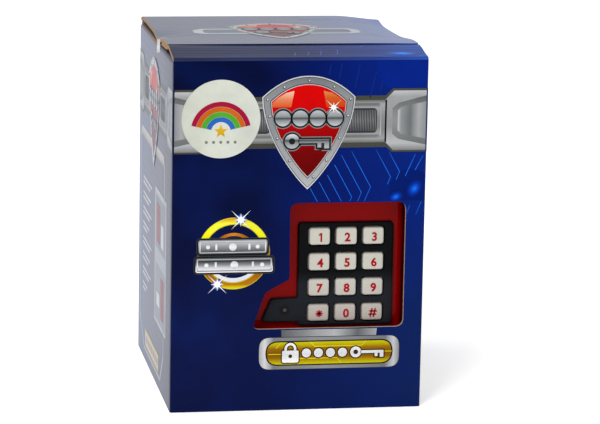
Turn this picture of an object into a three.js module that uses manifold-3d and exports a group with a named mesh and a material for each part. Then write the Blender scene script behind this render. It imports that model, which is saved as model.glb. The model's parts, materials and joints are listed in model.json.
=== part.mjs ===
// A toy safe packed in its window carton. Millimetres, +Z up, front towards -Y, origin under the
// middle of the carton. The carton is folded from corrugated board; its front panel has a cut-out
// over the safe's keypad. The safe has a hinged door with twelve keys, a knob that drives two
// bolts, a coin slot, a banknote slot with feed rollers, and a battery box at the back.
import * as THREE from 'three';
import { mergeVertices } from 'three/addons/utils/BufferGeometryUtils.js';
import Module from 'manifold-3d';

const wasm = await Module();
wasm.setup();

// Driving dimensions
const gap = 0.3; // between pieces that rest on each other
const past = 1; // a cutting tool runs this far past the faces it cuts
const board = 2; // thickness of the corrugated board
const cartonWidth = 150;
const cartonDepth = 165;
const sideTop = 206.3; // top of the side walls; each later layer of flaps lies one board higher
const frontTop = sideTop + gap + board;
const backTop = frontTop + gap + board;
const lidReach = 136; // the lid, measured forward from the back fold
const frontFlapReach = 60;
const dustFlapReach = 66;
const dustFlapTaper = 0.5; // a flap's end edges lean in by half of their length

const shellWidth = 136;
const shellBottom = 10;
const shellTop = 196;
const shellFront = -70.5;
const shellBack = 71;
const wall = 2.5;
const shellRadius = 9;

const doorFace = -71;
const doorBack = -58;
const doorPlate = 3; // thickness of the door's front plate
const doorClearance = 0.4; // all round, to the shell's opening
const doorFlange = 2.2; // thickness of the door's turned-in edges
const hingeRadius = 4; // the door's hinge edge is rounded about the pins
const hingePin = { radius: 1.6, hole: 1.9, length: 7 };
const screw = { stem: 1.3, hole: 1.6, head: 3 };
const doorScrew = { x: 50, z: 70 }; // from the middle of the door, one up and one down

const keypad = { x: 29.9, z: 79.8, pitchX: 16.1, pitchZ: 15.35 };
const keySize = { width: 12.8, height: 10.5, radius: 2.2, proud: 1.5 };
const keyLip = { width: 14.8, height: 12.5, thickness: 1 };
const bezelThickness = 3;
const statusLight = { x: -6.3, z: 58.8, radius: 1.7, hole: 1.9, collar: 2.8 };

const knob = { x: -38, z: 95, radius: 14, height: 4.5, shaft: 3 };
const bolt = { height: 7, thickness: 4, spread: 30, travel: 4, behindPlate: 0.5 };

const coinSlot = { x: 42, y: 12, length: 30, width: 4.5 };
const noteSlot = { x: -10, y: -31, length: 78, width: 4.5 };
const strikeClearance = 0.8; // round a bolt in the shell's wall
const doorHoleClearance = 0.4; // round a bolt in the door's edge
const slotCollar = 1.2; // wall round a slot, where its bezel drops through the shell
const slotFlange = 4.5; // the bezel's rim on top of the shell
const roller = { radius: 5.1, spacing: 10.8, z: 177, core: 2.5, tread: 12 };

const batteryBox = { z: 52, width: 60, height: 48, depth: 17, wall: 2, coverRim: 4 };
const battery = { radius: 7.2, length: 50, pitch: 14.65, capRadius: 2.6 };
const foot = { radius: 6, height: 2, x: 54, y: 56 };

// Places worked out from the driving dimensions
const frontOuter = -cartonDepth / 2;
const backOuter = cartonDepth / 2;
const sideOuter = cartonWidth / 2;
const openingHalf = shellWidth / 2 - wall;
const shellMiddle = (shellBottom + shellTop) / 2;
const shellHeight = shellTop - shellBottom;
const doorHalf = openingHalf - doorClearance;
const doorHeight = shellHeight - 2 * wall - 2 * doorClearance;
const hinge = { x: doorHalf - hingeRadius, y: doorFace + hingeRadius };
const floorOfCarton = 2 * board + 2 * gap; // where the safe's feet stand
const doorPlateBack = doorFace + doorPlate;
const boltY = doorPlateBack + bolt.behindPlate + bolt.thickness / 2;

// Materials
const look = (color, roughness, metalness = 0) =>
  new THREE.MeshStandardMaterial({ color, roughness, metalness });
const materials = {
  print: look(0x15246a, 0.45),
  lidPrint: look(0x8b93a6, 0.45),
  kraft: look(0x9a7850, 0.9),
  red: look(0xb3141c, 0.25),
  redDark: look(0x8e1016, 0.5),
  black: look(0x17181b, 0.35),
  key: look(0xcfcdc4, 0.4),
  silicone: look(0xb9bcbf, 0.8),
  boardGreen: look(0x1d6b3a, 0.5),
  lens: look(0x9c1a12, 0.15),
  steel: look(0xb8bcc2, 0.3, 1),
  silver: look(0xc3c7cc, 0.3, 0.6),
  rubber: look(0x202022, 0.9),
  cell: look(0x2f7d46, 0.4),
};

// Shapes
function roundedPolygon(corners) {
  // corners: [x, y, radius]; each corner is replaced by a curve that meets both its edges
  const shape = new THREE.Shape();
  const count = corners.length;
  corners.forEach(([x, y, radius], i) => {
    const here = new THREE.Vector2(x, y);
    const [px, py] = corners[(i + count - 1) % count];
    const [nx, ny] = corners[(i + 1) % count];
    const back = new THREE.Vector2(px, py).sub(here).normalize().multiplyScalar(radius);
    const ahead = new THREE.Vector2(nx, ny).sub(here).normalize().multiplyScalar(radius);
    const start = here.clone().add(back);
    const end = here.clone().add(ahead);
    if (i === 0) shape.moveTo(start.x, start.y);
    else shape.lineTo(start.x, start.y);
    if (radius > 0) shape.quadraticCurveTo(x, y, end.x, end.y);
  });
  shape.closePath();
  return shape;
}

function roundedRect(x, y, width, height, radius) {
  const [w, h] = [width / 2, height / 2];
  const corners = [
    [x - w, y - h, radius],
    [x + w, y - h, radius],
    [x + w, y + h, radius],
    [x - w, y + h, radius],
  ];
  return roundedPolygon(corners);
}

function extrude(shape, depth, bevel = 0, curveSegments = 5) {
  // with a bevel, the outline keeps its size and the depth includes both bevels
  return new THREE.ExtrudeGeometry(shape, {
    depth: depth - 2 * bevel,
    bevelEnabled: bevel > 0,
    bevelThickness: bevel,
    bevelSize: bevel,
    bevelOffset: -bevel,
    bevelSegments: 2,
    curveSegments,
  }).translate(0, 0, bevel);
}

// An outline drawn in X and Z, from the plane y = front back to y = back
function upright(shape, front, back, bevel = 0) {
  return extrude(shape, back - front, bevel).rotateX(Math.PI / 2).translate(0, back, 0);
}

// An outline drawn in X and Y, from z = bottom up to z = top
function flat(shape, bottom, top, bevel = 0) {
  return extrude(shape, top - bottom, bevel).translate(0, 0, bottom);
}

function block(x0, x1, y0, y1, z0, z1) {
  return new THREE.BoxGeometry(x1 - x0, y1 - y0, z1 - z0).translate(
    (x0 + x1) / 2,
    (y0 + y1) / 2,
    (z0 + z1) / 2,
  );
}

const rodZ = (radius, x, y, z0, z1, sides = 20) =>
  new THREE.CylinderGeometry(radius, radius, z1 - z0, sides)
    .rotateX(Math.PI / 2)
    .translate(x, y, (z0 + z1) / 2);

const rodY = (radius, x, z, y0, y1, sides = 24) =>
  new THREE.CylinderGeometry(radius, radius, y1 - y0, sides).translate(x, (y0 + y1) / 2, z);

const rodX = (radius, y, z, x0, x1, sides = 20) =>
  new THREE.CylinderGeometry(radius, radius, x1 - x0, sides)
    .rotateZ(Math.PI / 2)
    .translate((x0 + x1) / 2, y, z);

// Joins and cuts
function solid(geometry) {
  const bare = geometry.clone();
  bare.deleteAttribute('normal');
  bare.deleteAttribute('uv');
  const merged = mergeVertices(bare, 1e-4);
  return new wasm.Manifold(
    new wasm.Mesh({
      numProp: 3,
      vertProperties: new Float32Array(merged.attributes.position.array),
      triVerts: new Uint32Array(merged.index.array),
    }),
  );
}

function toGeometry(manifold) {
  const mesh = manifold.getMesh();
  const geometry = new THREE.BufferGeometry();
  geometry.setAttribute('position', new THREE.BufferAttribute(mesh.vertProperties, 3));
  geometry.setIndex(new THREE.BufferAttribute(mesh.triVerts, 1));
  const loose = geometry.toNonIndexed();
  loose.computeVertexNormals();
  return loose;
}

const cut = (base, ...tools) =>
  toGeometry(tools.reduce((left, tool) => left.subtract(solid(tool)), solid(base)));
const join = (first, ...rest) =>
  toGeometry(rest.reduce((left, piece) => left.add(solid(piece)), solid(first)));

function piece(parent, name, geometry, material) {
  const mesh = new THREE.Mesh(geometry, material);
  mesh.name = name;
  parent.add(mesh);
  return mesh;
}

function place(parent, x = 0, y = 0, z = 0) {
  const group = new THREE.Group();
  group.position.set(x, y, z);
  parent.add(group);
  return group;
}

// The carton's walls, with the cut-out in the front panel
function cartonWalls(parent) {
  const front = roundedPolygon([
    [-sideOuter, 0, 0],
    [sideOuter, 0, 0],
    [sideOuter, frontTop, 0],
    [-sideOuter, frontTop, 0],
  ]);
  const windowOutline = roundedPolygon([
    [-5.3, 124.6, 5],
    [-5.0, 79.0, 1.5],
    [-19.4, 71.4, 3],
    [-26.8, 49.3, 4.5],
    [63.5, 49.3, 5],
    [63.5, 124.6, 5],
  ]);
  front.holes.push(windowOutline);
  const frontInner = frontOuter + board;
  const backInner = backOuter - board;
  const sideInner = sideOuter - board;
  piece(parent, 'carton_front_panel', upright(front, frontOuter, frontInner), materials.print);
  for (const [side, sign] of [['left', -1], ['right', 1]]) {
    const panel = block(-board / 2, board / 2, frontInner + gap, backInner - gap, 0, sideTop);
    const mesh = piece(parent, `carton_${side}_panel`, panel, materials.print);
    mesh.position.x = sign * (sideOuter - board / 2);
  }
  const back = block(-sideOuter, sideOuter, backInner, backOuter, 0, backTop);
  piece(parent, 'carton_back_panel', back, materials.print);

  const tab = { reach: 28, bottom: 12, top: sideTop - 12, lean: 6 };
  const tabOutline = roundedPolygon([
    [backInner - gap, tab.bottom, 0],
    [backInner - gap, tab.top, 0],
    [backInner - tab.reach, tab.top - tab.lean, 0],
    [backInner - tab.reach, tab.bottom + tab.lean, 0],
  ]);
  const tabSolid = extrude(tabOutline, board)
    .rotateX(Math.PI / 2)
    .rotateZ(Math.PI / 2)
    .translate(-sideInner + gap, 0, 0);
  piece(parent, 'carton_glue_tab', tabSolid, materials.kraft);
}

// The top flaps lie in three layers: dust flaps, front flap, lid. Each group sits on its fold.
function cartonTop(parent) {
  const dustHalf = cartonDepth / 2 - board - gap;
  for (const [side, sign] of [['left', -1], ['right', 1]]) {
    const fold = place(parent, sign * sideOuter, 0, sideTop + gap);
    const lean = dustFlapReach * dustFlapTaper;
    const outline = roundedPolygon([
      [0, -dustHalf, 0],
      [dustFlapReach, -dustHalf + lean, 3],
      [dustFlapReach, dustHalf - lean, 3],
      [0, dustHalf, 0],
    ]);
    const mesh = piece(fold, `carton_dust_flap_${side}`, flat(outline, 0, board), materials.kraft);
    if (sign > 0) mesh.rotation.z = Math.PI;
  }
  const frontFold = place(parent, 0, frontOuter, frontTop + gap);
  const half = sideOuter - gap;
  const flapOutline = roundedPolygon([
    [-half, 0, 0],
    [half, 0, 0],
    [half, frontFlapReach, 2],
    [-half, frontFlapReach, 2],
  ]);
  piece(frontFold, 'carton_front_flap', flat(flapOutline, 0, board), materials.print);

  const backFold = place(parent, 0, backOuter, backTop + gap);
  const lidOutline = roundedPolygon([
    [-half, -lidReach, 2],
    [half, -lidReach, 6],
    [half, 0, 0],
    [-half, 0, 0],
  ]);
  piece(backFold, 'carton_lid', flat(lidOutline, 0, board), materials.lidPrint);
}

// The carton's floor: two outer flaps that meet in the middle, two short ones on top of them
function cartonBottom(parent) {
  const halfX = sideOuter - board - gap;
  const halfY = cartonDepth / 2 - board - gap;
  const innerReach = 48;
  const names = [['front', -1], ['back', 1]];
  for (const [side, sign] of names) {
    const flap = block(-halfX, halfX, gap / 2, halfY, 0, board);
    const mesh = piece(parent, `carton_bottom_flap_${side}`, flap, materials.kraft);
    if (sign < 0) mesh.rotation.z = Math.PI;
  }
  for (const [side, sign] of [['left', -1], ['right', 1]]) {
    const outline = roundedPolygon([
      [halfX, -halfY, 0],
      [halfX, halfY, 0],
      [halfX - innerReach, halfY - 14, 3],
      [halfX - innerReach, -halfY + 14, 3],
    ]);
    const flap = flat(outline, board + gap, 2 * board + gap);
    const mesh = piece(parent, `carton_bottom_dust_flap_${side}`, flap, materials.kraft);
    if (sign < 0) mesh.rotation.z = Math.PI;
  }
}

const slotOutline = (slot, grow, radius) =>
  roundedRect(slot.x, slot.y, slot.length + 2 * grow, slot.width + 2 * grow, radius);

// The space round one bolt, above (sign 1) or below (sign -1) the knob
function boltHole(x0, x1, sign, clearance) {
  const z = knob.z + sign * bolt.spread;
  const [halfY, halfZ] = [bolt.thickness / 2 + clearance, bolt.height / 2 + clearance];
  return block(x0, x1, boltY - halfY, boltY + halfY, z - halfZ, z + halfZ);
}

// The safe's body: a box open at the front, with slots, a battery opening and two strike holes
function shell(parent) {
  const outer = roundedRect(0, shellMiddle, shellWidth, shellHeight, shellRadius);
  const inner = roundedRect(
    0,
    shellMiddle,
    2 * openingHalf,
    shellHeight - 2 * wall,
    shellRadius - wall,
  );
  const tools = [upright(inner, shellFront - past, shellBack - wall)];
  for (const slot of [coinSlot, noteSlot]) {
    const grow = slotCollar + gap;
    tools.push(flat(slotOutline(slot, grow, 1), shellTop - wall - past, shellTop + past));
  }
  const { z, width, height } = batteryBox;
  const hatch = roundedRect(0, z, width - 4, height - 4, 2);
  tools.push(upright(hatch, shellBack - wall - past, shellBack + past));
  for (const sign of [-1, 1]) {
    tools.push(boltHole(-shellWidth / 2 - past, -openingHalf + past, sign, strikeClearance));
  }
  const { hole } = hingePin;
  tools.push(rodZ(hole, hinge.x, hinge.y, shellTop - wall - past, shellTop + past, 16));
  tools.push(rodZ(hole, hinge.x, hinge.y, shellBottom - past, shellBottom + wall + past, 16));
  piece(parent, 'safe_shell', cut(upright(outer, shellFront, shellBack), ...tools), materials.red);
}

function base(parent) {
  const footTop = floorOfCarton + foot.height;
  const middle = (shellFront + shellBack) / 2;
  const outline = roundedRect(0, middle, shellWidth - 2, shellBack - shellFront - 2, 6);
  piece(parent, 'safe_base', flat(outline, footTop + gap, shellBottom - gap, 0.6), materials.black);
  let number = 0;
  for (const x of [-foot.x, foot.x]) {
    for (const y of [middle - foot.y, middle + foot.y]) {
      number += 1;
      const disc = rodZ(foot.radius, x, y, floorOfCarton, footTop, 20);
      piece(parent, `foot_${number}`, disc, materials.rubber);
    }
  }
}

// A slot bezel: a rim on top of the shell and a collar that drops through it
function slotBezel(parent, name, slot) {
  const bottom = shellTop - wall - 1;
  const top = shellTop + gap + 1.6;
  const rim = flat(slotOutline(slot, slotFlange, 3), shellTop + gap, top, 0.5);
  const collar = flat(slotOutline(slot, slotCollar, 0.8), bottom, top - 0.6);
  const hole = flat(slotOutline(slot, 0, 0.5), bottom - past, top + past);
  piece(parent, name, cut(join(rim, collar), hole), materials.black);
}

function coinChute(parent) {
  const top = shellTop - wall - 1 - gap;
  const slant = roundedPolygon([
    [0, 0, 0],
    [2, 0, 0],
    [2, -6, 0],
    [14, -28, 0],
    [12, -29, 0],
    [0, -7, 0],
  ]);
  const outer = upright(slant, -coinSlot.length / 2 - 2, coinSlot.length / 2 + 2);
  const side = upright(
    roundedPolygon([[0, 0, 0], [12, 0, 0], [15, -27, 0], [12, -29, 0], [0, -7, 0]]),
    0,
    1.6,
  );
  const far = coinSlot.length / 2 + 2;
  const chute = join(outer, side.clone().translate(0, -far, 0), side.translate(0, far - 1.6, 0));
  const group = place(parent, coinSlot.x, coinSlot.y - slotCollar - coinSlot.width / 2 - 3, top);
  const mesh = piece(group, 'coin_chute', chute, materials.black);
  mesh.rotation.z = Math.PI / 2;
}

// Two rollers under the banknote slot, in a frame that hangs from the top of the shell
function noteFeed(parent) {
  const half = noteSlot.length / 2 + 5;
  const cheek = 2;
  const top = shellTop - wall - gap;
  const { radius, spacing, z, core, tread } = roller;
  const feed = place(parent, noteSlot.x, noteSlot.y, 0);
  const cheekOutline = roundedPolygon([
    [-spacing / 2 - 7, z - 8, 3],
    [spacing / 2 + 7, z - 8, 3],
    [spacing / 2 + 7, top, 0],
    [-spacing / 2 - 7, top, 0],
  ]);
  const sheet = extrude(cheekOutline, cheek).rotateX(Math.PI / 2).rotateZ(Math.PI / 2);
  const cheeks = [sheet.clone().translate(-half, 0, 0), sheet.translate(half - cheek, 0, 0)];
  const tie = block(-half, half, spacing / 2 + 4, spacing / 2 + 7, top - 6, top);
  const bores = [-1, 1].map((sign) => rodX(core + 0.4, (sign * spacing) / 2, z, -half - 2, half + 2));
  const frame = cut(join(tie, ...cheeks), ...bores);
  piece(feed, 'roller_frame', frame, materials.black);

  const reach = half + cheek / 2;
  const steps = [[0, -reach], [core, -reach]];
  for (const middle of [-26, 0, 26]) {
    steps.push([core, middle - tread / 2], [radius, middle - tread / 2]);
    steps.push([radius, middle + tread / 2], [core, middle + tread / 2]);
  }
  steps.push([core, reach], [0, reach]);
  const profile = steps.map(([r, along]) => new THREE.Vector2(r, along));
  for (const [name, sign] of [['note_drive_roller', -1], ['note_pinch_roller', 1]]) {
    const geometry = new THREE.LatheGeometry(profile, 24).rotateZ(-Math.PI / 2);
    piece(feed, name, geometry, materials.rubber).position.set(0, (sign * spacing) / 2, z);
  }
  const motorEnd = -half - cheek - gap;
  const can = rodX(9, 0, 0, motorEnd - 8.5, motorEnd, 28);
  const boss = rodX(3.5, 0, 0, motorEnd - 1, motorEnd + 1.2, 16);
  piece(feed, 'note_motor', join(can, boss), materials.steel).position.set(0, -spacing / 2, z);
}

// Three cells in a tray behind a screwed cover at the back
function batteries(parent) {
  const { z, width, height, depth } = batteryBox;
  const back = shellBack - wall - gap;
  const box = place(parent, 0, 0, z);
  const outer = upright(roundedRect(0, 0, width, height, 2), back - depth - batteryBox.wall, back);
  const pocket = upright(
    roundedRect(0, 0, width - 2 * batteryBox.wall, height - 2 * batteryBox.wall, 1),
    back - depth,
    back + 1,
  );
  piece(box, 'battery_tray', cut(outer, pocket), materials.black);
  const profile = [[0, 0], [battery.radius, 0], [battery.radius, battery.length - 1.5]];
  profile.push([battery.radius - 1, battery.length - 1], [battery.capRadius, battery.length - 1]);
  profile.push([battery.capRadius, battery.length], [0, battery.length]);
  const points = profile.map(([r, along]) => new THREE.Vector2(r, along));
  for (let i = 0; i < 3; i += 1) {
    const turn = i % 2 ? 1 : -1;
    const cell = new THREE.LatheGeometry(points, 20).rotateZ((turn * Math.PI) / 2);
    const mesh = piece(box, `battery_${i + 1}`, cell, materials.cell);
    mesh.position.set((turn * battery.length) / 2, back - depth / 2, (i - 1) * battery.pitch);
  }
  const rim = 2 * batteryBox.coverRim;
  const [front, behind] = [shellBack + gap, shellBack + gap + 2];
  const lid = upright(roundedRect(0, 0, width + rim, height + rim, 4), front, behind, 0.5);
  const screwX = width / 2 + 1;
  const screwHole = rodY(screw.hole, screwX, 0, front - past, behind + past, 12);
  piece(box, 'battery_cover', cut(lid, screwHole), materials.redDark);
  const head = rodY(screw.head - 0.4, screwX, 0, behind + gap, behind + gap + 1.2, 16);
  const stem = rodY(screw.stem, screwX, 0, front, behind + gap + 0.5, 12);
  piece(box, 'battery_cover_screw', join(head, stem), materials.steel);
}

// The door: a shallow pan with rounded hinge edge, holes for the keypad, knob shaft and bolts
function door(parent) {
  const outline = roundedRect(0, shellMiddle, 2 * doorHalf, doorHeight, shellRadius - wall);
  const pocket = roundedRect(
    0,
    shellMiddle,
    2 * (doorHalf - doorFlange),
    doorHeight - 2 * doorFlange,
    shellRadius - wall - doorFlange,
  );
  const keysWidth = 2 * keypad.pitchX + keyLip.width + 1.2;
  const keysHeight = 3 * keypad.pitchZ + keyLip.height + 1.2;
  const edge = cut(
    block(hinge.x, doorHalf + past, doorFace - past, hinge.y, shellBottom, shellTop),
    rodZ(hingeRadius, hinge.x, hinge.y, shellBottom - past, shellTop + past, 48),
  );
  const tools = [
    upright(pocket, doorPlateBack, doorBack + past),
    upright(
      roundedRect(keypad.x, keypad.z, keysWidth, keysHeight, 2),
      doorFace - past,
      doorPlateBack + past,
    ),
    rodY(statusLight.hole, statusLight.x, statusLight.z, doorFace - past, doorPlateBack + past, 16),
    rodY(knob.shaft + doorClearance, knob.x, knob.z, doorFace - past, doorPlateBack + past),
    edge,
  ];
  for (const sign of [-1, 1]) {
    tools.push(boltHole(-doorHalf - past, -doorHalf + doorFlange + past, sign, doorHoleClearance));
  }
  const { radius, hole, length } = hingePin;
  const [top, bottom] = [shellMiddle + doorHeight / 2, shellMiddle - doorHeight / 2];
  tools.push(rodZ(hole, hinge.x, hinge.y, top - length, top + past, 16));
  tools.push(rodZ(hole, hinge.x, hinge.y, bottom - past, bottom + length, 16));
  piece(parent, 'door_panel', cut(upright(outline, doorFace, doorBack), ...tools), materials.red);

  const liner = roundedRect(
    0,
    shellMiddle,
    2 * (doorHalf - doorFlange - doorClearance),
    doorHeight - 2 * (doorFlange + doorClearance),
    3,
  );
  const linerFront = doorBack - 2;
  const screwPlaces = [-1, 1].map((sign) => [sign * doorScrew.x, shellMiddle + sign * doorScrew.z]);
  const holes = screwPlaces.map(([x, z]) =>
    rodY(screw.hole, x, z, linerFront - past, doorBack + past, 12),
  );
  piece(parent, 'door_liner', cut(upright(liner, linerFront, doorBack), ...holes), materials.redDark);
  screwPlaces.forEach(([x, z], i) => {
    const head = rodY(screw.head, x, z, doorBack + gap, doorBack + gap + 1.4, 16);
    const stem = rodY(screw.stem, x, z, linerFront - 4, doorBack + gap + 0.5, 12);
    piece(parent, `door_screw_${i + 1}`, join(head, stem), materials.steel);
  });

  const pinTop = shellTop - 0.5;
  const pinBottom = shellBottom + gap;
  const topPin = rodZ(radius, hinge.x, hinge.y, pinTop - length, pinTop, 16);
  const bottomPin = rodZ(radius, hinge.x, hinge.y, pinBottom, pinBottom + length, 16);
  piece(parent, 'hinge_pin_top', topPin, materials.steel);
  piece(parent, 'hinge_pin_bottom', bottomPin, materials.steel);
}

// The keypad: a black bezel on the door's face, twelve keys in its holes, the mat and the
// circuit board behind them. The bezel has an arm to the left that holds the status light.
function keypadUnit(parent) {
  const bezelFront = doorFace - bezelThickness;
  const outline = roundedPolygon([
    [1.3, 111, 2.5],
    [1.3, 65.8, 0.8],
    [-14.3, 65.3, 1.5],
    [-20.2, 51.3, 2.5],
    [1.5, 51.2, 0.5],
    [2.2, 48.9, 2],
    [58.3, 48.9, 3],
    [58.3, 111, 2.5],
  ]);
  const hole = { width: keySize.width + 0.6, height: keySize.height + 0.6 };
  const keyNames = ['1', '2', '3', '4', '5', '6', '7', '8', '9', 'star', '0', 'hash'];
  const places = keyNames.map((name, i) => ({
    name,
    x: keypad.x + ((i % 3) - 1) * keypad.pitchX,
    z: keypad.z + (1.5 - Math.floor(i / 3)) * keypad.pitchZ,
  }));
  const tools = places.map(({ x, z }) =>
    upright(
      roundedRect(x, z, hole.width, hole.height, keySize.radius),
      bezelFront - past,
      doorFace + past,
    ),
  );
  const light = statusLight;
  tools.push(rodY(light.hole, light.x, light.z, bezelFront - 2 * past, doorFace + past, 20));
  const plate = upright(outline, bezelFront, doorFace - gap / 3);
  const collar = rodY(light.collar, light.x, light.z, bezelFront - 0.6, doorFace - 1);
  piece(parent, 'keypad_bezel', cut(join(plate, collar), ...tools), materials.black);

  const keyFront = bezelFront - keySize.proud;
  const lipFront = doorFace + gap;
  for (const { name, x, z } of places) {
    const spot = place(parent, x, 0, z);
    const cap = upright(
      roundedRect(0, 0, keySize.width, keySize.height, keySize.radius),
      keyFront,
      lipFront + 0.6,
      0.5,
    );
    const lip = upright(
      roundedRect(0, 0, keyLip.width, keyLip.height, 2),
      lipFront,
      lipFront + keyLip.thickness,
    );
    piece(spot, `key_${name}`, join(cap, lip), materials.key);
  }

  const sheet = 1.6; // thickness of the mat and of the circuit board
  const matFront = lipFront + keyLip.thickness + 1.7; // leaves the keys room to travel
  const mat = upright(roundedRect(keypad.x, keypad.z, 51, 61, 2), matFront, matFront + sheet);
  piece(parent, 'keypad_mat', mat, materials.silicone);
  const boardFront = matFront + sheet + gap;
  const circuit = upright(roundedRect(22, keypad.z, 68, 70, 1), boardFront, boardFront + sheet);
  piece(parent, 'keypad_circuit_board', circuit, materials.boardGreen);
  const { radius } = light;
  const lensProfile = [[0, 0], [radius, 0], [radius, 3.6], [radius - 0.5, 4.3], [0, 4.6]];
  const lens = new THREE.LatheGeometry(
    lensProfile.map(([r, along]) => new THREE.Vector2(r, along)),
    20,
  ).rotateX(Math.PI);
  const lensMesh = piece(parent, 'status_light', lens, materials.lens);
  lensMesh.position.set(light.x, doorFace + 0.6, light.z);
}

// A knob on the door's face; its shaft carries a cam inside the window of the bolt plate
function lock(parent) {
  const grip = place(parent, knob.x, 0, knob.z);
  const profile = [
    [0, 0],
    [knob.radius, 0],
    [knob.radius, 1.5],
    [knob.radius - 1.2, 2.4],
    [0, 2.4],
  ].map(([r, along]) => new THREE.Vector2(r, along));
  const dial = new THREE.LatheGeometry(profile, 40).rotateX(Math.PI).translate(0, doorFace - gap, 0);
  const bar = upright(roundedRect(0, 0, 22, 6, 2.4), doorFace - knob.height, doorFace - gap - 1, 0.6);
  piece(grip, 'door_knob', join(dial, bar), materials.silver);
  const cam = { front: doorPlateBack + 1.5, thickness: 2 };
  const camBack = cam.front + cam.thickness;
  const shaft = rodY(knob.shaft, 0, 0, doorFace, camBack + 2);
  const lobe = upright(roundedRect(0, 0, 10, 5, 2), cam.front, camBack);
  piece(grip, 'knob_shaft', join(shaft, lobe), materials.steel);

  const plateOutline = roundedRect(-39.5, knob.z, 37, 2 * bolt.spread + 10, 2);
  plateOutline.holes.push(roundedRect(knob.x + bolt.travel / 2, knob.z, 18, 16, 2));
  const plate = upright(plateOutline, cam.front, camBack);
  const boltEnd = -doorHalf + 1.3;
  const arms = [-1, 1].map((sign) => {
    const z = knob.z + sign * bolt.spread;
    const [halfY, halfZ] = [bolt.thickness / 2, bolt.height / 2];
    return block(boltEnd, -54, boltY - halfY, boltY + halfY, z - halfZ, z + halfZ);
  });
  piece(parent, 'latch_bolts', join(plate, ...arms), materials.steel);
}

const object = new THREE.Group();
const safe = place(object);
shell(safe);
base(safe);
slotBezel(safe, 'coin_slot_bezel', coinSlot);
slotBezel(safe, 'note_slot_bezel', noteSlot);
coinChute(safe);
noteFeed(safe);
batteries(safe);
door(safe);
keypadUnit(safe);
lock(safe);
cartonBottom(safe);
const carton = place(object);
cartonWalls(carton);
cartonTop(carton);

export default object;
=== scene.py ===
import json
import math

import bpy
import bmesh
from mathutils import Matrix, Vector
from mathutils.geometry import tessellate_polygon

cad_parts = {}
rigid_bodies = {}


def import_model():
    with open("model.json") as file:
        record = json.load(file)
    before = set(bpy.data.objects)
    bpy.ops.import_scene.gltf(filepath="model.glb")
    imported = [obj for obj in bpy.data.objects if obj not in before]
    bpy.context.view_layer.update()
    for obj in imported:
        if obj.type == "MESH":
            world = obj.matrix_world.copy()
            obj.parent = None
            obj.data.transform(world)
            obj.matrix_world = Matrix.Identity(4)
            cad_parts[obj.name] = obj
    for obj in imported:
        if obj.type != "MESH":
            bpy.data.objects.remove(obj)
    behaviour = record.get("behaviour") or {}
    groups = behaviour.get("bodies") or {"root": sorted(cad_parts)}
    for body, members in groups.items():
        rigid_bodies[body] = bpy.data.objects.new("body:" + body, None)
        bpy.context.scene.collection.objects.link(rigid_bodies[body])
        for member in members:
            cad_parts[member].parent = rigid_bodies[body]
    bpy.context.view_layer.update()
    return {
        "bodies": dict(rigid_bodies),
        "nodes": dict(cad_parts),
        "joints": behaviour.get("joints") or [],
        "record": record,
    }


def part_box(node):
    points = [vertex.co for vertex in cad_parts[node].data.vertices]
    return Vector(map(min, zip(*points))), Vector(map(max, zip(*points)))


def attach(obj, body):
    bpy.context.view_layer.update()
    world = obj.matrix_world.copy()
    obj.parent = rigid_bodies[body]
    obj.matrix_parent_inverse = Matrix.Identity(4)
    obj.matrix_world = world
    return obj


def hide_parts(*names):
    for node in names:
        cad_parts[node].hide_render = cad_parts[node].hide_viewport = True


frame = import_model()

MM = 0.001


def box_mm(node):
    """A node's lowest and highest corner at rest, in millimetres."""
    low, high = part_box(node)
    return [v / MM for v in low], [v / MM for v in high]


FRONT_LOW, FRONT_HIGH = box_mm("carton_front_panel")
LID_LOW, LID_HIGH = box_mm("carton_lid")
FLAP_LOW, FLAP_HIGH = box_mm("carton_front_flap")
SIDE_TOP = box_mm("carton_left_panel")[1][2]
DUST_LOW, DUST_HIGH = box_mm("carton_dust_flap_left")
HALF_WIDTH = FRONT_HIGH[0]
FRONT_Y = FRONT_LOW[1]
BACK_Y = -FRONT_Y
FOLD_Z = FRONT_HIGH[2]
BOARD = LID_HIGH[2] - LID_LOW[2]
FOLD_CORNER = 1.2  # outer radius of the upright folds
PRINT_EDGE = HALF_WIDTH - 1.0  # how far print reaches towards a fold
GROUND_LINE = 125.3  # the height at the window's top, where the lines and lights stop
FLUTE = 4.8  # pitch of the washboard lines that show through the liner
LID_SHIFT = 163.3  # from a height on the front to the place along Y where the lid repeats it


# Outlines, as lists of (u, v)
# ----------------------------

def corners(points, steps=6):
    """A closed outline from (u, v, radius) corners, each rounded by a curve."""
    outline = []
    count = len(points)
    for i, (x, y, radius) in enumerate(points):
        here = Vector((x, y))
        if radius <= 0:
            outline.append((x, y))
            continue
        before = Vector(points[i - 1][:2]) - here
        after = Vector(points[(i + 1) % count][:2]) - here
        start = here + before.normalized() * min(radius, before.length * 0.49)
        end = here + after.normalized() * min(radius, after.length * 0.49)
        for k in range(steps + 1):
            t = k / steps
            p = start * (1 - t) ** 2 + here * 2 * t * (1 - t) + end * t ** 2
            outline.append((p.x, p.y))
    return outline


def rect(u, v, width, height, radius=0.0):
    w, h = width / 2, height / 2
    return corners([(u - w, v - h, radius), (u + w, v - h, radius),
                    (u + w, v + h, radius), (u - w, v + h, radius)])


def disc(u, v, radius, steps=64, squash=1.0):
    turn = 2 * math.pi / steps
    return [(u + radius * math.cos(k * turn), v + squash * radius * math.sin(k * turn))
            for k in range(steps)]


def star(u, v, outer, inner, points=5, turn=math.pi / 2):
    step = math.pi / points
    return [(u + r * math.cos(turn + k * step), v + r * math.sin(turn + k * step))
            for k in range(2 * points) for r in [inner if k % 2 else outer]]


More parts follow.
